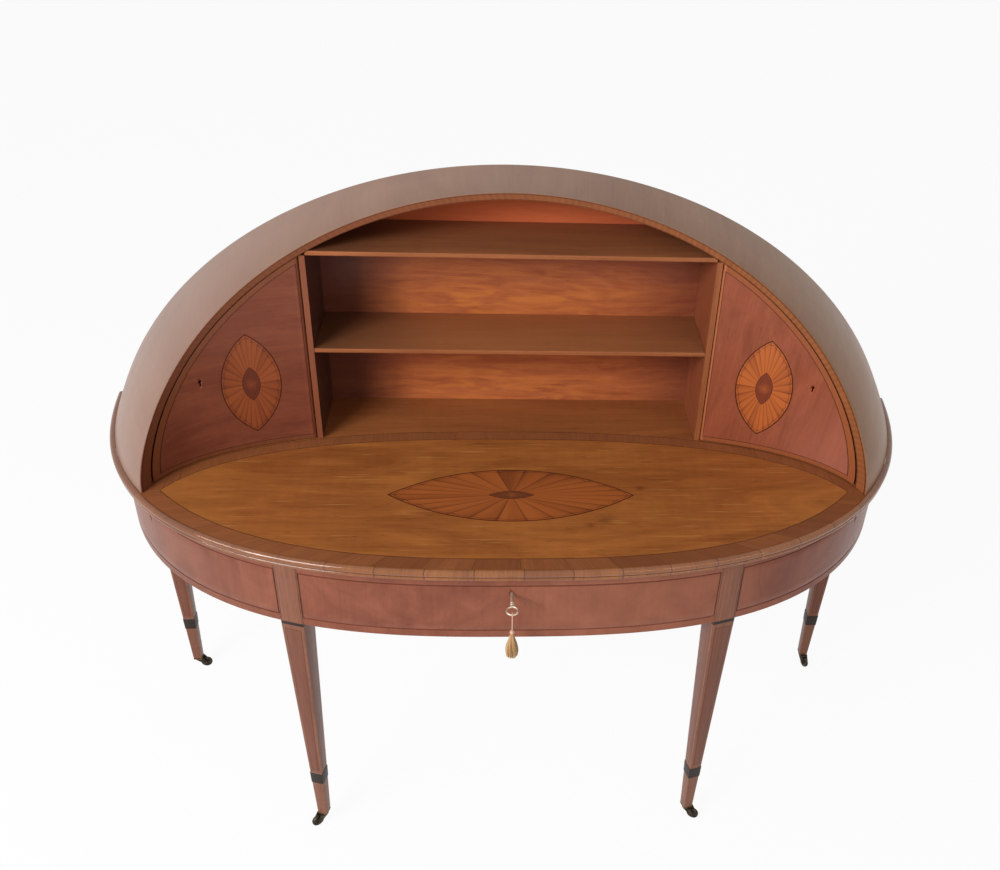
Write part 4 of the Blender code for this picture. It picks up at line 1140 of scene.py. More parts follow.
    def moulding_finish(self) -> Material:
        """Cross-grain blocks of several tones, darker in their joints and at the left, with painted
        shade in the groove.
        """
        graph = Graph("edge_blocks")
        x, _, _ = graph.place()
        run, rise = graph.mark("run"), graph.mark("rise")
        blocks = run / self.block
        own = graph.own(blocks.floor() * 7.7, 0.3, 0.2)
        left = (-x).over(0.42, 0.34)
        look = EDGE_WOOD.look(graph, rise, run, blocks.floor() * 3.1).stained(
            (((own - 0.45) * 1.3).clamped(), tint(118, 68, 38)),
            (blocks.seam(0.022, 0.006) * (0.75 - left * 0.4), SEAM_AND_SHADE_DARK),
            (left * 0.5, tint(92, 56, 42)),
            # painted shade: a dark line in the groove between the nosing and the bead
            (rise.line(-self.groove_down, 0.0016, 0.0008) * 0.5, SEAM_AND_SHADE_DARK),
        )
        return graph.finish(look, GLOSS, TOP_RELIEF)


@dataclass
class BentBoard:
    """A board bent to the frieze between two legs."""

    plan: Plan
    part: Stretch
    side: Side
    gap: float
    thick: float
    low: float
    high: float
    radius: float
    stations: int = 120

    def curve(self, inset: float) -> Array:
        """Plan path at an inset behind the board's face."""
        inset += self.plan.frieze_inset
        return self.plan.frieze_stretch(self.part, inset, self.gap, self.stations)

    def make(self, name: str) -> tuple[Piece, float]:
        """The board: a rounded section carried along the frieze, each point at its own inset.

        Args:
            name: the piece's name.

        Returns:
            The piece, and the length of its face.
        """
        section = Skin.loop((0.0, self.thick), (self.low, self.high), self.radius, 6)
        insets, back = np.unique(section[:, 0].round(7), return_inverse=True)
        curves = np.stack([self.curve(inset) for inset in insets])
        paths = curves[back].transpose(1, 0, 2) * (self.side.value, 1.0)
        run = walked(curves[0])
        marks = {"run": run[:, None], "inset": section[None, :, 0]}
        return Skin.loft(name, lifted(paths, section[:, 1]), marks), float(run[-1])


@dataclass
class Frieze:
    """Rails, bottom boards and drawer fronts of the bent frieze."""

    plan: Plan
    string_in: float = 0.0009
    rail_round: float = 0.0005
    front_round: float = 0.0012
    corner_back: float = 0.004
    stations: int = 120

    def build(self) -> None:
        """Makes every bent board."""
        plan = self.plan
        upper = (plan.under - plan.top_rail, plan.under - plan.gap)
        lower = (plan.frieze_low, plan.frieze_low + plan.bottom_rail)
        self.rail(Stretch.CENTRE, Side.RIGHT, upper, "top_rail_centre", 2.0)
        self.rail(Stretch.CENTRE, Side.RIGHT, lower, "bottom_rail_centre", 5.0)
        self.front(Stretch.CENTRE, Side.RIGHT, "centre_drawer_front", "centre_drawer", 8.0)
        for side in Side:
            seed, word, part = 11.0 + side.value, side.word, Stretch.FLANK
            self.rail(part, side, upper, f"top_rail_{word}", seed)
            self.bottom_board(side, lower, seed + 3.0)
            self.front(part, side, f"side_drawer_front_{word}", f"side_drawer_{word}", seed + 6.0)

    @staticmethod
    def wood(graph: Graph, seed: float) -> Look:
        """Frieze wood with its grain upright, greyer at the left and redder right of the middle."""
        x, _, z = graph.place()
        return FRIEZE_WOOD.look(graph, z, graph.mark("run"), seed).stained(
            ((-x).over(0.48, 0.3) * 0.42, tint(106, 71, 56)),
            ((1.0 - abs(x - 0.21).over(0.19, 0.2)) * 0.24, tint(178, 116, 88)),
        )

    def rail_finish(self, node: str, seed: float) -> Material:
        """Plain frieze wood."""
        graph = Graph(node + "_wood")
        return graph.finish(self.wood(graph, seed), POLISH)

    def rail(self, part: Stretch, side: Side, up: tuple[float, float], node: str, seed: float) -> None:
        """A fixed rail of the frieze.

        Args:
            part, side: the kind of stretch that it spans and its side of the desk.
            up: its foot and its top.
            node: the CAD node that it replaces.
            seed: picks its sheet of veneer.
        """
        plan = self.plan
        board = BentBoard(plan, part, side, plan.gap, plan.rail_thick, *up, self.rail_round)
        piece, _ = board.make(node + "_veneered")
        settle(piece, "desk", "frieze_veneer", self.rail_finish(node, seed), node)

    def bottom_board(self, side: Side, up: tuple[float, float], seed: float) -> None:
        """The board under a side drawer: a plan outline with one bent edge, at two levels.

        Args:
            side: its side of the desk.
            up: its foot and its top.
            seed: picks its sheet of veneer.
        """
        plan, node = self.plan, f"bottom_board_{side.word}"
        half = 0.5 * plan.leg_top + plan.gap
        outer = plan.frieze_stretch(Stretch.FLANK, plan.frieze_inset, plan.gap, self.stations)
        corner = plan.front_leg() + half * (plan.leg_along() - plan.leg_out())
        guide = box_side("drawer_guide_right", 0, 1) + plan.gap
        back = box_side("back_rail", 1, 0) - plan.gap
        rear_x, rear_y = plan.rear_leg() - half
        turn = corner[1] + self.corner_back
        inside = [corner, [guide, turn], [guide, back], [rear_x, back], [rear_x, rear_y]]
        outline = np.concatenate([outer, inside]) * (side.value, 1.0)
        run = np.concatenate([walked(outer), np.zeros(len(inside))])
        piece = Skin.loft(node + "_veneered", slab(outline, *up), {"run": run[None, :]})
        settle(piece, "desk", "frieze_veneer", self.rail_finish(node, seed), node)

    def front(self, part: Stretch, side: Side, node: str, body: str, seed: float) -> None:
        """A drawer front with a keyhole and a dark string round its edge.

        Args:
            part, side: the kind of stretch that it spans and its side of the desk.
            node, body: the CAD node that it replaces and the drawer that it rides on.
            seed: picks its sheet of veneer.
        """
        plan, up = self.plan, (self.plan.drawer_low, self.plan.drawer_high)
        board = BentBoard(plan, part, side, plan.drawer_clear, plan.front_thick, *up, self.front_round)
        piece, length = board.make(node + "_veneered")
        if part is Stretch.CENTRE:
            spot, out = np.array([0.0, plan.rim_y(plan.frieze_inset, 0.0)]), np.array([0.0, -1.0])
        else:
            face = plan.frieze_stretch(part, plan.frieze_inset, plan.drawer_clear, 2 * self.stations + 1)
            chord = face[0] - face[-1]
            out = np.array([chord[1], -chord[0]]) / np.hypot(*chord) * (side.value, 1.0)
            spot = face[self.stations] * (side.value, 1.0)
        keyhole(piece, (spot[0], spot[1], plan.keyhole_z), out)
        settle(piece, body, "frieze_veneer", self.front_finish(node, length, seed), node)

    def front_finish(self, node: str, length: float, seed: float) -> Material:
        """Frieze wood with a dark string near the edge and bare wood behind.

        Args:
            node: the drawer front's CAD node.
            length: length of its face.
            seed: picks its sheet of veneer.

        Returns:
            The material.
        """
        graph = Graph(node + "_wood")
        _, _, z = graph.place()
        run, inset = graph.mark("run"), graph.mark("inset")
        edge = run.least(length - run).least(z - self.plan.drawer_low).least(self.plan.drawer_high - z)
        lining = inset.over(0.002, 0.001)
        string = edge.line(self.string_in, 0.0014) * (1.0 - lining)
        look = self.wood(graph, seed).stained(
            (string * 0.7, STRING_SOFT),
            ((1.0 - edge.over(self.string_in, 0.0006)) * 0.35, tint(108, 56, 36)),
        )
        return graph.finish(look.under(lining, OAK.look(graph, run, z, seed + 2.0)), POLISH)


@dataclass
class Legs:
    """Four tapered legs with stringing and ebony cuffs."""

    plan: Plan
    cuff_top: float = 0.161
    cuff_height: float = 0.030
    cuff_proud: float = 0.0008
    cuff_lip: float = 0.0004
    corner: float = 0.0009
    string_in: float = 0.0052
    panel_down: float = 0.018
    panel_up: float = 0.010

    def build(self) -> None:
        """Makes the four legs."""
        plan = self.plan
        out = plan.leg_out()
        turn = math.atan2(out[0], -out[1])
        for side in Side:
            sign, flip = side.value, np.array([side.value, 1.0])
            self.leg(f"leg_front_{side.word}", plan.front_leg() * flip, sign * turn, 20.0 + sign)
            self.leg(f"leg_rear_{side.word}", plan.rear_leg() * flip, 0.0, 25.0 + sign)

    def leg(self, node: str, centre: Array, turn: float, seed: float) -> None:
        """One leg: rounded squares that narrow downwards, stepped out at the cuff.

        Each square is a quarter of four points, turned four times: the two ends and the middle of a
        side, at `half` from the centre, and the middle of the next rounded corner.

        Args:
            node: the CAD node that it replaces.
            centre: its plan centre.
            turn: its turn in plan.
            seed: picks its wood.
        """
        plan, lip, proud = self.plan, self.cuff_lip, self.cuff_proud
        foot, low, cuff_low = box_side(node, 2, 0), plan.frieze_low, self.cuff_top - self.cuff_height
        stations = np.array(
            [
                [plan.under - plan.gap, 0.0],
                [low, 0.0],
                [low - 0.0005, 0.0],
                [self.cuff_top + lip, 0.0],
                [self.cuff_top - lip, proud],
                [cuff_low + lip, proud],
                [cuff_low - lip, 0.0],
                [foot + 0.0012, 0.0],
                [foot, -0.0010],
            ]
        )
        slope = 0.5 * (plan.leg_top - plan.leg_foot) / (low - foot)
        half = 0.5 * plan.leg_top - slope * np.maximum(0.0, low - stations[:, 0]) + stations[:, 1]
        flat, bend = half - self.corner, self.corner * math.sqrt(0.5)
        side, bent = np.array([-1.0, 0.0, 1.0, 1.0]), np.array([0.0, 0.0, 0.0, 1.0])
        first = half[:, None] * (1.0 - bent) + (flat + bend)[:, None] * bent
        second = flat[:, None] * side + bend * bent
        spin = (turn + QUARTER * np.arange(4))[None, :, None]
        x = centre[0] + first[:, None, :] * np.cos(spin) - second[:, None, :] * np.sin(spin)
        y = centre[1] + first[:, None, :] * np.sin(spin) + second[:, None, :] * np.cos(spin)
        shape = (len(stations), 16)
        rings = lifted(np.stack([x.reshape(shape), y.reshape(shape)], -1), stations[:, :1])
        marks = {"edge": np.tile(flat[:, None] * (side == 0.0), 4), "across": np.tile(second, 4)}
        piece = Skin.loft(node + "_veneered", rings, marks, crease=30.0)
        settle(piece, "desk", "leg_wood", self.finish(node, seed), node)

    def finish(self, node: str, seed: float) -> Material:
        """Leg wood with a panel of string on each face, an ebony band at the top and the cuff.

        Args:
            node: the leg's CAD node.
            seed: picks its wood.

        Returns:
            The material.
        """
        graph = Graph(node + "_wood")
        _, _, z = graph.place()
        edge, across = graph.mark("edge"), graph.mark("across")
        low = self.plan.frieze_low
        head, foot = low - self.panel_down, self.cuff_top + self.panel_up
        on_block = z.over(low, 0.0005)
        streak = graph.noise(z * 8.0, across * 170.0, seed + 1.0).over(0.5, 0.3)
        below, above = 1.0 - z.over(head, 0.0006), z.over(foot, 0.0006)
        within = edge.over(self.string_in, 0.0005)
        ends = z.line(head, 0.0018).most(z.line(foot, 0.0018)) * within
        string = (edge.line(self.string_in, 0.0014) * below * above).most(ends)
        block = edge.line(0.0012, 0.0022).most(edge.line(0.0075, 0.0010) * 0.4) * on_block
        look = LEG_WOOD.look(graph, z, across, seed).stained(
            (on_block * streak * 0.16, tint(176, 116, 86)),
            (below * above * within * 0.40, tint(104, 57, 45)),
            (string.most(block) * 0.7, STRING_SOFT),
        )
        cuff = z.line(self.cuff_top - 0.5 * self.cuff_height, self.cuff_height)
        band = z.line(low - 0.0038, 0.0072)
        look = look.under(band.most(cuff), EBONY.look(graph, across, z))
        rubbed = graph.noise(z * 60.0, across * 90.0, seed, 3.0, 0.55).over(0.5, 0.2)
        paled = (1.0 - edge.over(0.0012, 0.0020)) * rubbed * (1.0 - cuff)
        return graph.finish(look.stained((paled * 0.18, tint(190, 136, 104))), POLISH)


@dataclass
class Hood:
    """The bent hood over the back of the desk."""

    plan: Plan
    stations: int = 220
    across: int = 36
    edge_rows: int = 6
    bevel: float = 0.0009
    edge_share: float = 0.006
    bar: float = 0.0115

    def build(self) -> None:
        """The shell: at each place round the arch a ring of outside, back edge, inside, front edge."""
        plan, wide, rows = self.plan, self.across, self.edge_rows
        share = np.linspace(0.0, 1.0, self.stations)[:, None]
        reach = np.linspace(0.0, 1.0, wide) * (1.0 - 2.0 * self.edge_share) + self.edge_share
        edge = np.linspace(self.bevel, plan.hood_thick - self.bevel, rows)
        insets = np.concatenate([np.zeros(wide), edge, np.full(wide, plan.hood_thick), edge[::-1]])
        depths = np.concatenate([reach, np.ones(rows), reach[::-1], np.zeros(rows)])
        # Marks of the four parts of a ring: 0 outside, 2 back edge and inside, 1 front edge.
        part = np.repeat([0.0, 2.0, 1.0], [wide, rows + wide, rows])
        rings = plan.hood_point(insets[None, :], share, depths[None, :])
        rings[..., 2] = np.maximum(rings[..., 2], plan.hood_base)
        front = plan.hood_point(0.0, share, 0.0)[:, 0]
        deep = np.linalg.norm(plan.hood_point(0.0, share, 1.0)[:, 0] - front, axis=1)
        marks = {"run": walked(front)[:, None], "deep": depths[None, :] * deep[:, None]}
        marks |= {"part": part[None, :], "inset": insets[None, :]}
        piece = Skin.loft("hood_veneered", rings, marks)
        settle(piece, "desk", "hood_veneer", self.finish(), "hood_shell")

    def finish(self) -> Material:
        """Pale veneer outside with a painted sheen on the left and painted shade on the right, a barred
        edge band at the front, painted darker on the left, and brown wood inside.
        """
        graph, plan = Graph("hood_wood"), self.plan
        run, deep, part, inset = (graph.mark(name) for name in ("run", "deep", "part", "inset"))
        round_arch = run / (2.0 * plan.hood_rise + plan.foot_x())
        # painted_light: the left part of the arch, painted with sheen outside and with shade on the band
        painted_light = round_arch.over(0.62, 0.7)
        outside = HOOD_WOOD.look(graph, deep, run, 2.0).stained(
            # painted sheen: a greyish veil on the left outside
            (painted_light * 0.68, tint(136, 112, 103)),
            # painted shade: warmer and darker towards the right foot
            ((1.0 - round_arch.over(0.22, 0.3)) * 0.4, tint(146, 108, 74)),
            ((1.0 - deep.over(0.035, 0.09)) * 0.22, tint(108, 76, 62)),
        )
        bars = abs(((run + inset * 0.35) / self.bar).part() - 0.5).over(0.25, 0.10)
        band = BAND.look(graph, inset, run, 3.0).stained(
            (bars * 0.32, tint(164, 96, 56)),
            (inset.line(0.0016, 0.0011) * 0.8, STRING_DARK),
            (inset.line(plan.hood_thick - 0.0014, 0.0009) * 0.6, STRING_DARK),
            # painted shade: the band darker on the left
            (painted_light * 0.65, tint(88, 47, 37)),
        )
        look = outside.under(part.over(1.5, 0.4), BACK_WOOD.look(graph, run, deep, 4.0))
        return graph.finish(look.under(part.line(1.0, 1.2, 0.3), band), SHEEN)


@dataclass
class Door:
    """A bowed cupboard door scribed to the arch."""

    plan: Plan
    side: Side
    fan_x: float = 0.463
    fan_up: float = 0.136
    keyhole_up: float = 0.161
    keyhole_in: float = 0.0385
    margin: float = 0.0095
    arch_clear: float = 0.0007
    edge_power: float = 2.8
    edge_reach: float = 0.0018
    end_clear: float = 0.0005
    least_height: float = 0.002
    corner_share: float = 0.02
    rebate_share: float = 0.3
    columns: int = 150
    nose_columns: int = 20
    rows: int = 26

    @property
    def low(self) -> float:
        """Height of the door's lower edge."""
        return self.plan.hood_base + self.plan.door_clear

    def pivot(self) -> tuple[float, float]:
        """Plan place of the right door's pivot."""
        plan, half = self.plan, 0.5 * self.plan.door_thick
        x = plan.partition_x + plan.partition_thick + plan.door_clear + half
        slope = float(plan.front_line_slope(x))
        length = math.sqrt(1.0 + slope**2)
        y = float(plan.front_line_y(x)) + plan.door_recess
        return x - half * slope / length, y + half / length

    def arch(self, clear: float, count: int = 1500) -> tuple[Array, Array]:
        """X and Z of the right half of the arch inside the hood, less a clearance."""
        return self.plan.front_arch(self.plan.hood_thick + clear, np.linspace(0.0, 0.5, count))

    def arch_height(self, x: Any, clear: float) -> Any:
        """Height at places across of the arch inside the hood, less a clearance."""
        arch_x, arch_z = self.arch(clear)
        return np.interp(x, arch_x[::-1], arch_z[::-1])

    def lines(self) -> tuple[Array, Array, Array]:
        """Plan lines of the door: places across, and depth of its face and of its rear there.

        The face lies on the hood's front line. The rear is door_thick behind, measured square to the
        line, and both close to a squarish round at the hinge, which turns clear of the partition.

        Returns:
            The three lines.
        """
        plan, half = self.plan, 0.5 * self.plan.door_thick
        pivot_x, pivot_y = self.pivot()
        reach = half + self.edge_reach
        nose = pivot_x - reach * np.cos(QUARTER * np.linspace(0.03, 1.0, self.nose_columns) ** 1.5)
        end = plan.foot_x() - plan.hood_thick - self.arch_clear - self.end_clear
        body = pivot_x + (end - pivot_x) * np.sin(np.linspace(0.0, QUARTER, self.columns))
        x = np.concatenate([nose, body[1:]])
        slope = plan.front_line_slope(np.maximum(x, pivot_x))
        lay = plan.front_line_y(np.maximum(x, pivot_x)) + plan.door_recess
        bend = np.clip((pivot_x - x) / reach, 0.0, 1.0) ** self.edge_power
        round_half = half * (1.0 - bend) ** (1.0 / self.edge_power)
        at_nose = x < pivot_x
        round_face = pivot_y - round_half * (half + plan.door_proud) / half
        face = np.where(at_nose, round_face, lay - plan.door_proud)
        rear = lay + plan.door_thick * np.sqrt(1.0 + slope**2)
        return x, face, np.where(at_nose, pivot_y + round_half, rear)

    def build(self) -> None:
        """The door: upright slices across it, each a rounded rectangle as deep as the door is there.

        The rear of the top corner is lower, so that it turns under the falling arch.
        """
        plan, sign, word = self.plan, self.side.value, self.side.word
        pivot_x, pivot_y = self.pivot()
        x, face, rear = self.lines()
        low = self.low
        top = np.maximum(self.arch_height(x, self.arch_clear), low + self.least_height)
        section = Skin.loop((0.0, 1.0), (0.0, 1.0), self.corner_share, self.rows)
        y = face[:, None] + section[None, :, 0] * (rear - face)[:, None]
        z = low + section[None, :, 1] * (top - low)[:, None]
        turning = pivot_x + 0.5 * plan.door_thick + 2.0 * plan.door_clear
        rebate = float(self.arch_height(turning, plan.door_clear))
        behind = (x[:, None] < turning) & (y > pivot_y - self.rebate_share * plan.door_thick)
        z = np.where(behind, np.minimum(z, rebate), z)
        where = np.stack([np.broadcast_to(x[:, None], y.shape), z], -1)
        spread = where[:, :, None, :] - np.stack(self.arch(self.arch_clear, 400), -1)
        run = walked(np.stack([x, face], -1))
        marks = {
            "run": run[:, None] - np.interp(self.fan_x, x, run),
            "to_arch": np.sqrt((spread**2).sum(-1)).min(-1),
            "hinge": run[:, None],
            "behind": section[None, :, 0],
        }
        rings = np.stack([sign * where[..., 0], y, z], -1)
        piece = Skin.loft(f"door_{word}_veneered", rings, marks)
        level = plan.table_height + self.keyhole_up
        hole_x = float(np.interp(level, *self.arch(0.0)[::-1])) - self.keyhole_in - plan.door_clear
        tilt = float(plan.front_line_slope(hole_x))
        out = np.array([tilt, -1.0]) / math.hypot(tilt, 1.0) * (sign, 1.0)
        keyhole(piece, (sign * hole_x, float(plan.front_line_y(hole_x)) + plan.door_recess, level), out)
        settle(piece, f"cupboard_door_{word}", "door_veneer", self.finish(), f"door_{word}")

    def finish(self) -> Material:
        """Door wood with a string parallel to its edges, a fan and a plain lining, painted darker as
        shade on the left door.
        """
        graph = Graph(f"door_{self.side.word}_wood")
        _, _, z = graph.place()
        run, to_arch, hinge, behind = (graph.mark(k) for k in ("run", "to_arch", "hinge", "behind"))
        up, seed, right = z - self.low, 31.0 + self.side.value, self.side is Side.RIGHT
        along, across = (z + run * 0.1, run - z * 0.1) if right else (run, z)
        look = DOOR_WOOD[self.side].look(graph, along, across, seed)
        if right:
            # painted sheen: a pale pinkish reflection low on the right door's outer part
            painted_sheen = run.over(0.07, 0.16) * (1.0 - up.over(0.10, 0.14))
            look = look.stained((painted_sheen * 0.32, tint(190, 124, 106)))
        margin = BAND.look(graph, to_arch, run, seed + 5.0).stained(
            (0.6, DOOR_MARGIN[self.side]),
            ((1.0 - hinge.over(self.margin)) * 0.7, HINGE_STRIP[self.side]),
        )
        edge = to_arch.least(up).least(hinge)
        look = look.under(1.0 - edge.over(self.margin), margin)
        look = look.stained((edge.line(self.margin, 0.0013) * 0.8, STRING_DARK))
        look = DOOR_FAN[self.side].over(look, z - (self.plan.table_height + self.fan_up), run)
        lining = SHELF_WOOD.look(graph, run, z, seed + 2.0)
        return graph.finish(look.under(behind.over(0.03, 0.01), lining), POLISH)


@dataclass
class Inside:
    """Shelves with rounded edges, and what keeps its CAD shape: back, partitions, carcase, locks."""

    plan: Plan
    shelf_thick: float = 0.0085
    shelf_round: float = 0.0018
    lipping_turn: float = 0.007

    def build(self) -> None:
        """Makes the shelves and dresses the other boards, locks and pivots."""
        dress("back_board", self.back_panel())
        for side in Side:
            dress(f"partition_{side.word}", self.partition(side))
        # painted light: the lower shelf is painted paler than the upper one
        self.build_shelf("shelf_lower", 5.0, 0.3)
        self.build_shelf("shelf_upper", 6.0, 0.0)
        stained = self.board("carcase_stained", STAINED, "XZY", 7.0)
        oak_long = self.board("drawer_oak_long", OAK, "YZX", 9.0)
        oak_wide = self.board("drawer_oak_wide", OAK, "XZY", 10.0)
        oak_flat = self.board("drawer_oak_flat", OAK, "XYZ", 11.0)
        brass = BRASS.dress("lock_case_brass")
        # A name that is no node of its own stands for a left and a right node.
        for material, names in (
            (stained, "back_rail drawer_guide"),
            (oak_long, "centre_drawer_wall side_drawer_inner_wall"),
            (oak_wide, "centre_drawer_back side_drawer_back_wall"),
            (oak_flat, "centre_drawer_bottom side_drawer_bottom"),
            (brass, "centre_drawer_lock side_drawer_lock door_lock door_pivot"),
        ):
            for name in names.split():
                pair = [f"{name}_{side.word}" for side in Side]
                for node in [name] if name in frame["nodes"] else pair:
                    dress(node, material)

    def back_panel(self) -> Material:
        """Back wood along X, a sheet of its own between shelves, plain behind; painted shade under each
        shelf and at the ends, painted light low in the middle and above the upper shelf.
        """
        graph = Graph("back_panel_wood")
        x, y, z = graph.place()
        base = self.plan.table_height
        lower, upper = box_side("shelf_lower", 2, 1), box_side("shelf_upper", 2, 1)
        on_lower, on_upper = z.over(lower, 0.001), z.over(upper, 0.001)
        up = graph.blend(on_lower, (z - base) / (lower - base), (z - lower) / (upper - lower))
        flames = graph.noise(x * 7.0 + z * 9.0, z * 46.0, on_lower * 3.1, warp=1.6).over(0.52, 0.2)
        # middle: where a painted pool of light falls, low in the middle of the two lower sheets; the
        # flame figure shows in it
        middle = ((0.85 - up) * 1.5).clamped() * (1.0 - abs(x).over(0.22, 0.26))
        # ends: painted shade at the ends, deepest at the left
        ends = (-x).over(0.245, 0.11) * 0.72 + x.over(0.29, 0.12) * 0.35
        look = BACK_WOOD.look(graph, x, z, (on_lower + on_upper) * 5.3 + 1.0).stained(
            # painted shade: redder and darker under each shelf
            (up.over(0.5, 0.6) * (1.0 - on_upper) * 0.58, tint(122, 52, 38)),
            (middle * (flames * 0.38 + 0.08), tint(214, 130, 60)),
            # painted light on the sheet above the upper shelf
            (on_upper * 0.55, tint(222, 110, 68)),
            (ends, tint(76, 44, 41)),
        )
        halfway = 0.5 * (box_side("back_board", 1, 0) + box_side("back_board", 1, 1))
        return graph.finish(look.under(y.over(halfway, 0.001), STAINED.look(graph, x, z, 3.0)), POLISH)

    def build_shelf(self, node: str, seed: float, painted_light: float) -> None:
        """A shelf: its rounded section drawn from end to end, each height as long as the solid there.

        Args:
            node: the CAD node that it replaces.
            seed: picks its board.
            painted_light: how far its colour is painted paler, as painted light.
        """
        plan = self.plan
        low, high = np.array(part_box(node), float)
        up = (high[2] - self.shelf_thick, high[2])
        section = Skin.loop((low[1], high[1]), up, self.shelf_round, 2, 5)
        inset = plan.hood_thick + 2.0 * plan.gap
        level = (section[:, 1] - plan.hood_base) / (plan.hood_rise - inset)
        arch = (plan.foot_x() - inset) * bowed(level, plan.arch_power)
        along = np.linspace(-1.0, 1.0, 9)[:, None] * np.minimum(high[0], arch)
        y, z = (np.broadcast_to(section[:, k], along.shape) for k in range(2))
        piece = Skin.loft(node + "_board", np.stack([along, y, z], -1), {})
        settle(piece, "desk", "shelf_wood", self.shelf(node, seed, painted_light), node)

    @staticmethod
    def shelf(node: str, seed: float, painted_light: float) -> Material:
        """Shelf wood along X, painted darker at its ends as shade, most at the left, with a paler
        lipping in front.

        Args:
            node: the shelf's CAD node.
            seed: picks its board.
            painted_light: how far its colour is painted paler, as painted light.

        Returns:
            The material.
        """
        graph = Graph(node + "_wood")
        x, y, z = graph.place()
        look = SHELF_WOOD.look(graph, x, y, seed).stained(
            (painted_light, tint(182, 112, 66)),
            # painted shade towards the ends, deepest at the left
            ((-x).over(0.23, 0.20) * 0.62 + x.over(0.28, 0.16) * 0.25, tint(60, 40, 32)),
        )
        front = 1.0 - y.over(box_side(node, 1, 0) + 0.0010, 0.0006)
        return graph.finish(look.under(front, LIPPING.look(graph, x, z, seed + 3.0)), POLISH)

    def partition(self, side: Side) -> Material:
        """Upright wood with a lipping on the front edge, which is carried round towards the door,
        painted darker as shade on the left.
        """
        node, seed = f"partition_{side.word}", 3.0 + side.value
        graph = Graph(node + "_wood")
        x, y, z = graph.place()
        lipping = LIPPING.look(graph, z, x, seed + 3.0)
        if side is Side.LEFT:
            # painted shade: the left lipping darker
            lipping = lipping.stained((0.6, tint(112, 62, 48)))
        deep = y - box_side(node, 1, 0)
        outer = abs(x).over(self.plan.partition_x + 0.5 * self.plan.partition_thick, 0.001)
        front = (1.0 - deep.over(0.0008)).most(outer * (1.0 - deep.over(self.lipping_turn)))
        return graph.finish(CHEEK_WOOD[side].look(graph, z, y, seed).under(front, lipping), POLISH)

    @staticmethod
    def board(name: str, wood: Veneer, axes: str, seed: float) -> Material:
        """Bare wood that runs along the first named axis and across the other two."""
        graph = Graph(name)
        place = dict(zip("XYZ", graph.place()))
        along, across, rest = (place[axis] for axis in axes)
        return graph.finish(wood.look(graph, along, across + rest * 0.9, seed), BARE)


@dataclass
class Casters:
    """Metal plates, forks and wheels under the legs."""

    radius: float = 0.0125
    width: float = 0.010
    bore: float = 0.0023
    hub: float = 0.0046
    dish_start: float = 0.0054
    dish_end: float = 0.0035
    dish: float = 0.72
    crown: float = 0.0026
    tread: float = 0.82

    def build(self) -> None:
        """Dresses plates and forks, and turns finer wheels."""
        bronze, brass = BRONZE.dress("caster_bronze"), PLATE_BRASS.dress("caster_plate_brass")
        for joint in frame["joints"]:
            if not joint["name"].startswith("wheel_spin_"):
                continue
            which = joint["name"].replace("wheel_spin_", "")
            dress(f"caster_{which}_plate", brass)
            dress(f"caster_{which}_fork", bronze)
            self.wheel(which, joint["pos_m"], joint["axis"], bronze)

    def wheel(self, which: str, centre: Sequence[float], axis: Sequence[float], metal: Material) -> None:
        """A wheel: a crowned rim, dished sides and a hub, turned about its axle.

        Args:
            which: the caster's place, as in the node names.
            centre: a point of the axle.
            axis: the axle's direction.
            metal: the finish.
        """
        half, rim, bend = 0.5 * self.width, self.radius, 0.42 * math.pi
        reach = (self.crown, self.tread * half / math.sin(bend))
        tread = arc(np.linspace(-bend, bend, 11), (rim - self.crown, 0.0), reach)
        radii = [self.bore, self.hub, self.dish_start, rim - self.dish_end]
        side = np.stack([radii, [-half, -half, -self.dish * half, -self.dish * half]], -1)
        profile = np.concatenate([side, tread, side[::-1] * (1.0, -1.0)])
        piece = Skin.turned(f"caster_{which}_tread", profile, 56, centre, axis, closed=True)
        settle(piece, f"caster_{which}_roll", "bronze", metal, f"caster_{which}_wheel")


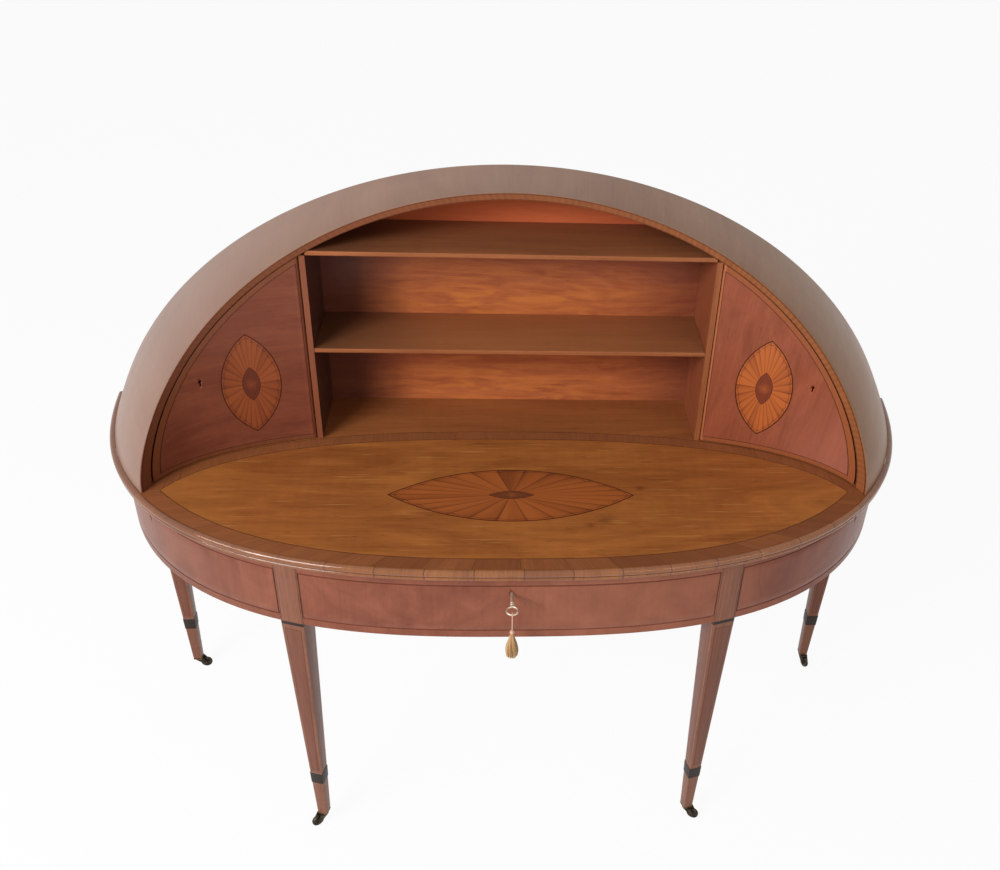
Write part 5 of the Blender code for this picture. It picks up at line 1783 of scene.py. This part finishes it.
@dataclass
class KeyAndTassel:
    """The key in the centre drawer's lock and the silk tassel on its bow."""

    plan: Plan
    shank: float = 0.0028
    collar: float = 0.0036
    tip_behind: float = 0.0080
    point: float = 0.0004
    cord_length: float = 0.033
    cord_diameter: float = 0.0022
    cord_tuck: float = 0.006
    cord_twist: float = 130.0
    knot: float = 0.0040
    skirt_length: float = 0.049
    skirt_radius: float = 0.0104
    neck: float = 0.0030
    strand: float = 0.00062
    strands: int = 260

    @property
    def face_y(self) -> float:
        """Depth of the drawer front at the key."""
        return float(self.plan.rim_y(self.plan.frieze_inset, 0.0))

    @property
    def bow_y(self) -> float:
        """Depth of the bow's middle."""
        return self.face_y - self.plan.key_out - self.plan.ring_radius - self.plan.ring_wire

    @property
    def hang_y(self) -> float:
        """Depth of the hanging cord."""
        plan = self.plan
        return self.bow_y - plan.ring_radius - plan.ring_wire - plan.gap - 0.5 * self.cord_diameter

    def build(self) -> None:
        """Makes the key, the cord with its loop, and the tassel."""
        self.build_key()
        self.build_tassel()

    def build_key(self) -> None:
        """The bow is a round wire ring, the shank and collars are turned, the bit is a small plate."""
        plan, wire, z = self.plan, self.plan.ring_wire, self.plan.keyhole_z
        steel = STEEL.dress("key_steel_worn")
        ring = arc(round_steps(24), (plan.ring_radius, 0.0), (wire, wire))
        bow = Skin.turned("key_bow_ring", ring, 72, (0.0, self.bow_y, z), (0.0, 0.0, 1.0), closed=True)
        settle(bow, "key", "key_steel", steel, "drawer_key")
        start = self.bow_y + plan.ring_radius
        tip = float(plan.rim_y(plan.frieze_inset + plan.front_thick, 0.0)) + self.tip_behind
        bead = np.linspace(-QUARTER, QUARTER, 9)
        collar = arc(bead, (self.shank, start + 3.0 * wire), (self.collar - self.shank, 1.3 * wire))
        profile = np.concatenate(
            [
                [[self.point, start], [self.shank, start + self.point]],
                collar,
                collar + (0.0, 2.6 * wire),
                [[self.shank, tip - 0.0005], [self.point, tip]],
            ]
        )
        shank = Skin.turned("key_shank", profile, 32, (0.0, 0.0, z), (0.0, 1.0, 0.0), closed=False)
        settle(shank, "key", "key_steel", steel)
        plate = Skin.loop((0.0020, 0.0078), (tip - 0.0050, tip - 0.0004), 0.0004, 1)
        bit = Skin.loft("key_bit_plate", slab(plate, z - 0.0009, z + 0.0009), {})
        settle(bit, "key", "key_steel", steel)

    def yarn(self, name: str, path: Array, twist: float, closed: bool) -> Piece:
        """A twisted tube: each ring is a two-lobed circle that turns along the path.

        Args:
            name: the piece's name.
            path: points of the centre line, in a plane of constant x.
            twist: turns per metre.
            closed: joins the ends.

        Returns:
            The piece.
        """
        step = np.roll(path, -1, 0) - np.roll(path, 1, 0) if closed else np.gradient(path, axis=0)
        ahead = step / np.linalg.norm(step, axis=1, keepdims=True)
        across = np.broadcast_to([1.0, 0.0, 0.0], path.shape)
        up = np.cross(ahead, across)
        run, angle = walked(path)[:, None], round_steps(16)[None, :]
        lobes = 0.5 * self.cord_diameter * (0.88 + 0.12 * np.cos(2.0 * (angle - TURN * twist * run)))
        spokes = np.cos(angle)[..., None] * across[:, None] + np.sin(angle)[..., None] * up[:, None]
        marks = {"run": run, "round": angle / TURN, "strand": np.zeros((1, 1))}
        return Skin.loft(name, path[:, None] + lobes[..., None] * spokes, marks, closed, 180.0)

    def build_tassel(self) -> None:
        """Cord, loop, wound knot and a skirt of separate yarns that swell and draw in."""
        plan = self.plan
        silk, cord_silk = SILK.dress("tassel_silk"), CORD_SILK.dress("cord_silk")
        top, length = plan.keyhole_z + 0.5 * self.cord_diameter, self.cord_length + self.cord_tuck
        drop = np.linspace(0.0, length, 33)
        path = np.stack([np.zeros(33), np.full(33, self.hang_y), top - drop], -1)
        cord = self.yarn("tassel_cord_twist", path, self.cord_twist, False)
        settle(cord, "tassel_body", "silk", cord_silk, "tassel_cord")
        wire_y = self.bow_y - plan.ring_radius
        reach = wire_y - self.hang_y
        circle = arc(round_steps(40), (wire_y, plan.keyhole_z), (reach, reach))
        loop = self.yarn("tassel_loop", np.insert(circle, 0, 0.0, axis=1), 0.0, True)
        settle(loop, "key", "silk", cord_silk)
        centre_z = top - self.cord_length - plan.gap - 0.9 * self.knot
        knot = self.build_knot(centre_z)
        settle(knot, "tassel_body", "silk", cord_silk)
        skirt = self.skirt(centre_z - 0.75 * self.knot)
        settle(skirt, "tassel_body", "silk", silk, "tassel")
        self.hang_y

    def build_knot(self, middle: float) -> Piece:
        """The knot: a ball with ridges that wind round it, about a given height."""
        turn, angle = np.linspace(0.0, math.pi, 40)[:, None], round_steps(48)[None, :]
        ridges = 1.0 + 0.05 * np.cos(angle * 2.0 + turn * 22.0)
        reach = np.maximum(self.knot * np.sin(turn), 0.0003) * ridges
        rings = lifted(arc(angle, (0.0, self.hang_y), (reach, reach)), middle + self.knot * np.cos(turn))
        marks = {"run": turn * self.knot, "round": angle / TURN, "strand": np.zeros((1, 1))}
        return Skin.loft("tassel_knot", rings, marks, crease=180.0)

    def skirt(self, top: float) -> Piece:
        """The skirt: yarns spread as seeds in a sunflower, each following the pear's outline.

        A yarn at share s below the neck lies at the outline's radius times its own, turns slowly
        about the axis, and ends at its own length.

        Args:
            top: height of the neck.

        Returns:
            The piece.
        """
        count, rows, sides = self.strands, 16, 5
        number = np.arange(count)[:, None]
        share = np.linspace(0.0, 1.0, rows)[None, :]
        own = np.sqrt((number + 0.5) / count)
        bearing = number * math.pi * (3.0 - math.sqrt(5.0))
        uneven = 1.0 - 0.035 * (0.5 + 0.5 * np.sin(number * 12.9898))
        swell = np.sin(math.pi * np.minimum(1.0, 0.62 * share + 0.02)) ** 1.9
        reach = (self.neck + (self.skirt_radius - self.neck) * swell) * own
        sway = 0.0625 * np.sin(3.0 * share + number * 1.7) * share
        line = arc(bearing + 0.5 * share + sway, (0.0, self.hang_y), (reach, reach))
        line = lifted(line, top - self.skirt_length * uneven * share)
        around = round_steps(sides)
        points = line[:, :, None, :] + lifted(arc(around, (0.0, 0.0), (self.strand, self.strand)), 0.0)
        start = np.arange(count)[:, None, None] * rows * sides
        i, j = np.arange(rows - 1)[None, :, None] * sides, np.arange(sides)
        here, k = start + i, (j + 1) % sides
        quads = np.stack([here + j, here + sides + j, here + sides + k, here + k], -1)
        ends = [start[:, 0] + j, start[:, 0] + (rows - 1) * sides + j[::-1]]
        faces = quads.reshape(-1, 4).tolist() + np.concatenate(ends).tolist()
        marks = {
            "run": (self.skirt_length * share)[:, :, None],
            "round": around / TURN,
            "strand": number[:, :, None] % 17,
        }
        marks = {key: np.broadcast_to(mark, points.shape[:3]).ravel() for key, mark in marks.items()}
        return Skin.piece("tassel_skirt", points.reshape(-1, 3), faces, marks, 180.0)


@dataclass
class Studio:
    """Floor, light and camera."""

    plan: Plan
    eye: tuple[float, float, float] = (-0.0300, -1.8077, 1.8732)
    pitch: float = 34.2986
    yaw: float = 4.5843
    roll: float = 2.9507
    focal: float = 1.05
    sensor: float = 36.0
    principal_x: float = 0.56441
    sky: float = 0.36
    floor_white: float = 0.93
    floor_half: float = 30.0
    floor_down: float = 0.0005
    aim: tuple[float, float, float] = (0.0, 0.0, 0.75)

    def build(self) -> None:
        """Sets the stage."""
        self.build_camera()
        self.build_floor()
        self.build_light()
        bpy.context.scene.view_settings.view_transform = "Standard"

    def build_camera(self) -> None:
        """A camera turned by yaw, then pitched down, then rolled about its own view."""
        pitch, yaw, roll = (math.radians(a) for a in (self.pitch, self.yaw, self.roll))
        flat = math.cos(pitch)
        ahead = Vector((math.sin(yaw) * flat, math.cos(yaw) * flat, -math.sin(pitch)))
        level = Vector((math.cos(yaw), -math.sin(yaw), 0.0))
        upright = level.cross(ahead)
        right = math.cos(roll) * level + math.sin(roll) * upright
        up = -math.sin(roll) * level + math.cos(roll) * upright
        data = bpy.data.cameras.new("camera")
        data.sensor_width = self.sensor
        data.lens = self.sensor * self.focal
        data.shift_x = 0.5 - self.principal_x
        camera = bpy.data.objects.new("camera", data)
        turned = Matrix((right, up, -ahead)).transposed().to_4x4()
        place = Vector(self.eye) + Vector((0.0, self.plan.back_y, 0.0))
        camera.matrix_world = Matrix.Translation(place) @ turned
        bpy.context.scene.collection.objects.link(camera)
        bpy.context.scene.camera = camera

    def build_floor(self) -> None:
        """A wide white floor that keeps a soft shadow."""
        corners = self.floor_half * np.array([[-1.0, -1.0], [1.0, -1.0], [1.0, 1.0], [-1.0, 1.0]])
        mesh = bpy.data.meshes.new("floor")
        mesh.from_pydata(lifted(corners, -self.floor_down).tolist(), [], [(0, 1, 2, 3)])
        floor = bpy.data.objects.new("floor", mesh)
        bpy.context.scene.collection.objects.link(floor)
        graph = Graph("floor_white")
        graph.glow(graph.seen() * self.floor_white, "ShaderNodeEmission")
        plain = Look(graph, (0.86, 0.86, 0.86), 0.9, 0.0)
        mesh.materials.append(graph.finish(plain, {"Specular IOR Level": 0.1}, relief=0.0))

    def build_light(self) -> None:
        """A pale sky and three soft lamps, the strongest at the front left."""
        graph = Graph("studio", world=True)
        graph.plug((0.95, 0.97, 1.0), graph.shader.inputs["Color"])
        graph.plug(self.sky, graph.shader.inputs["Strength"])
        graph.glow(graph.seen(), "ShaderNodeBackground")
        bpy.context.scene.world = graph.owner
        self.lamp("key_lamp", (-2.5, -2.7, 2.8), (1.6, 1.6), 118.0, (1.0, 1.0, 1.0))
        self.lamp("window_lamp", (-2.8, -1.6, 2.2), (1.4, 0.28), 36.0, (0.94, 0.96, 1.0))
        self.lamp("fill_lamp", (1.9, -2.7, 2.2), (2.2, 0.18), 20.0, (1.0, 0.86, 0.68))

    def lamp(
        self, name: str, place: Sequence[float], size: tuple[float, float], power: float, colour: Colour
    ) -> None:
        """A soft lamp that looks at the middle of the desk.

        Args:
            name: its name.
            place: where it hangs.
            size: how wide and how tall it is.
            power: watts.
            colour: of its light.
        """
        data = bpy.data.lights.new(name, "AREA")
        data.shape = "RECTANGLE"
        data.size, data.size_y = size
        data.energy = power
        data.color = colour
        lamp = bpy.data.objects.new(name, data)
        lamp.location = place
        lamp.rotation_euler = (Vector(self.aim) - Vector(place)).to_track_quat("-Z", "Y").to_euler()
        bpy.context.scene.collection.objects.link(lamp)


def main() -> None:
    """Builds every sub-assembly in order."""
    logging.basicConfig(level=logging.INFO, format="%(name)s: %(message)s")
    Studio(PLAN).build()
    KeyAndTassel(PLAN).build()
    TableTop(PLAN).build()
    Frieze(PLAN).build()
    Legs(PLAN).build()
    Hood(PLAN).build()
    for side in Side:
        Door(PLAN, side).build()
    Inside(PLAN).build()
    Casters().build()


if __name__ == "__main__":
    main()
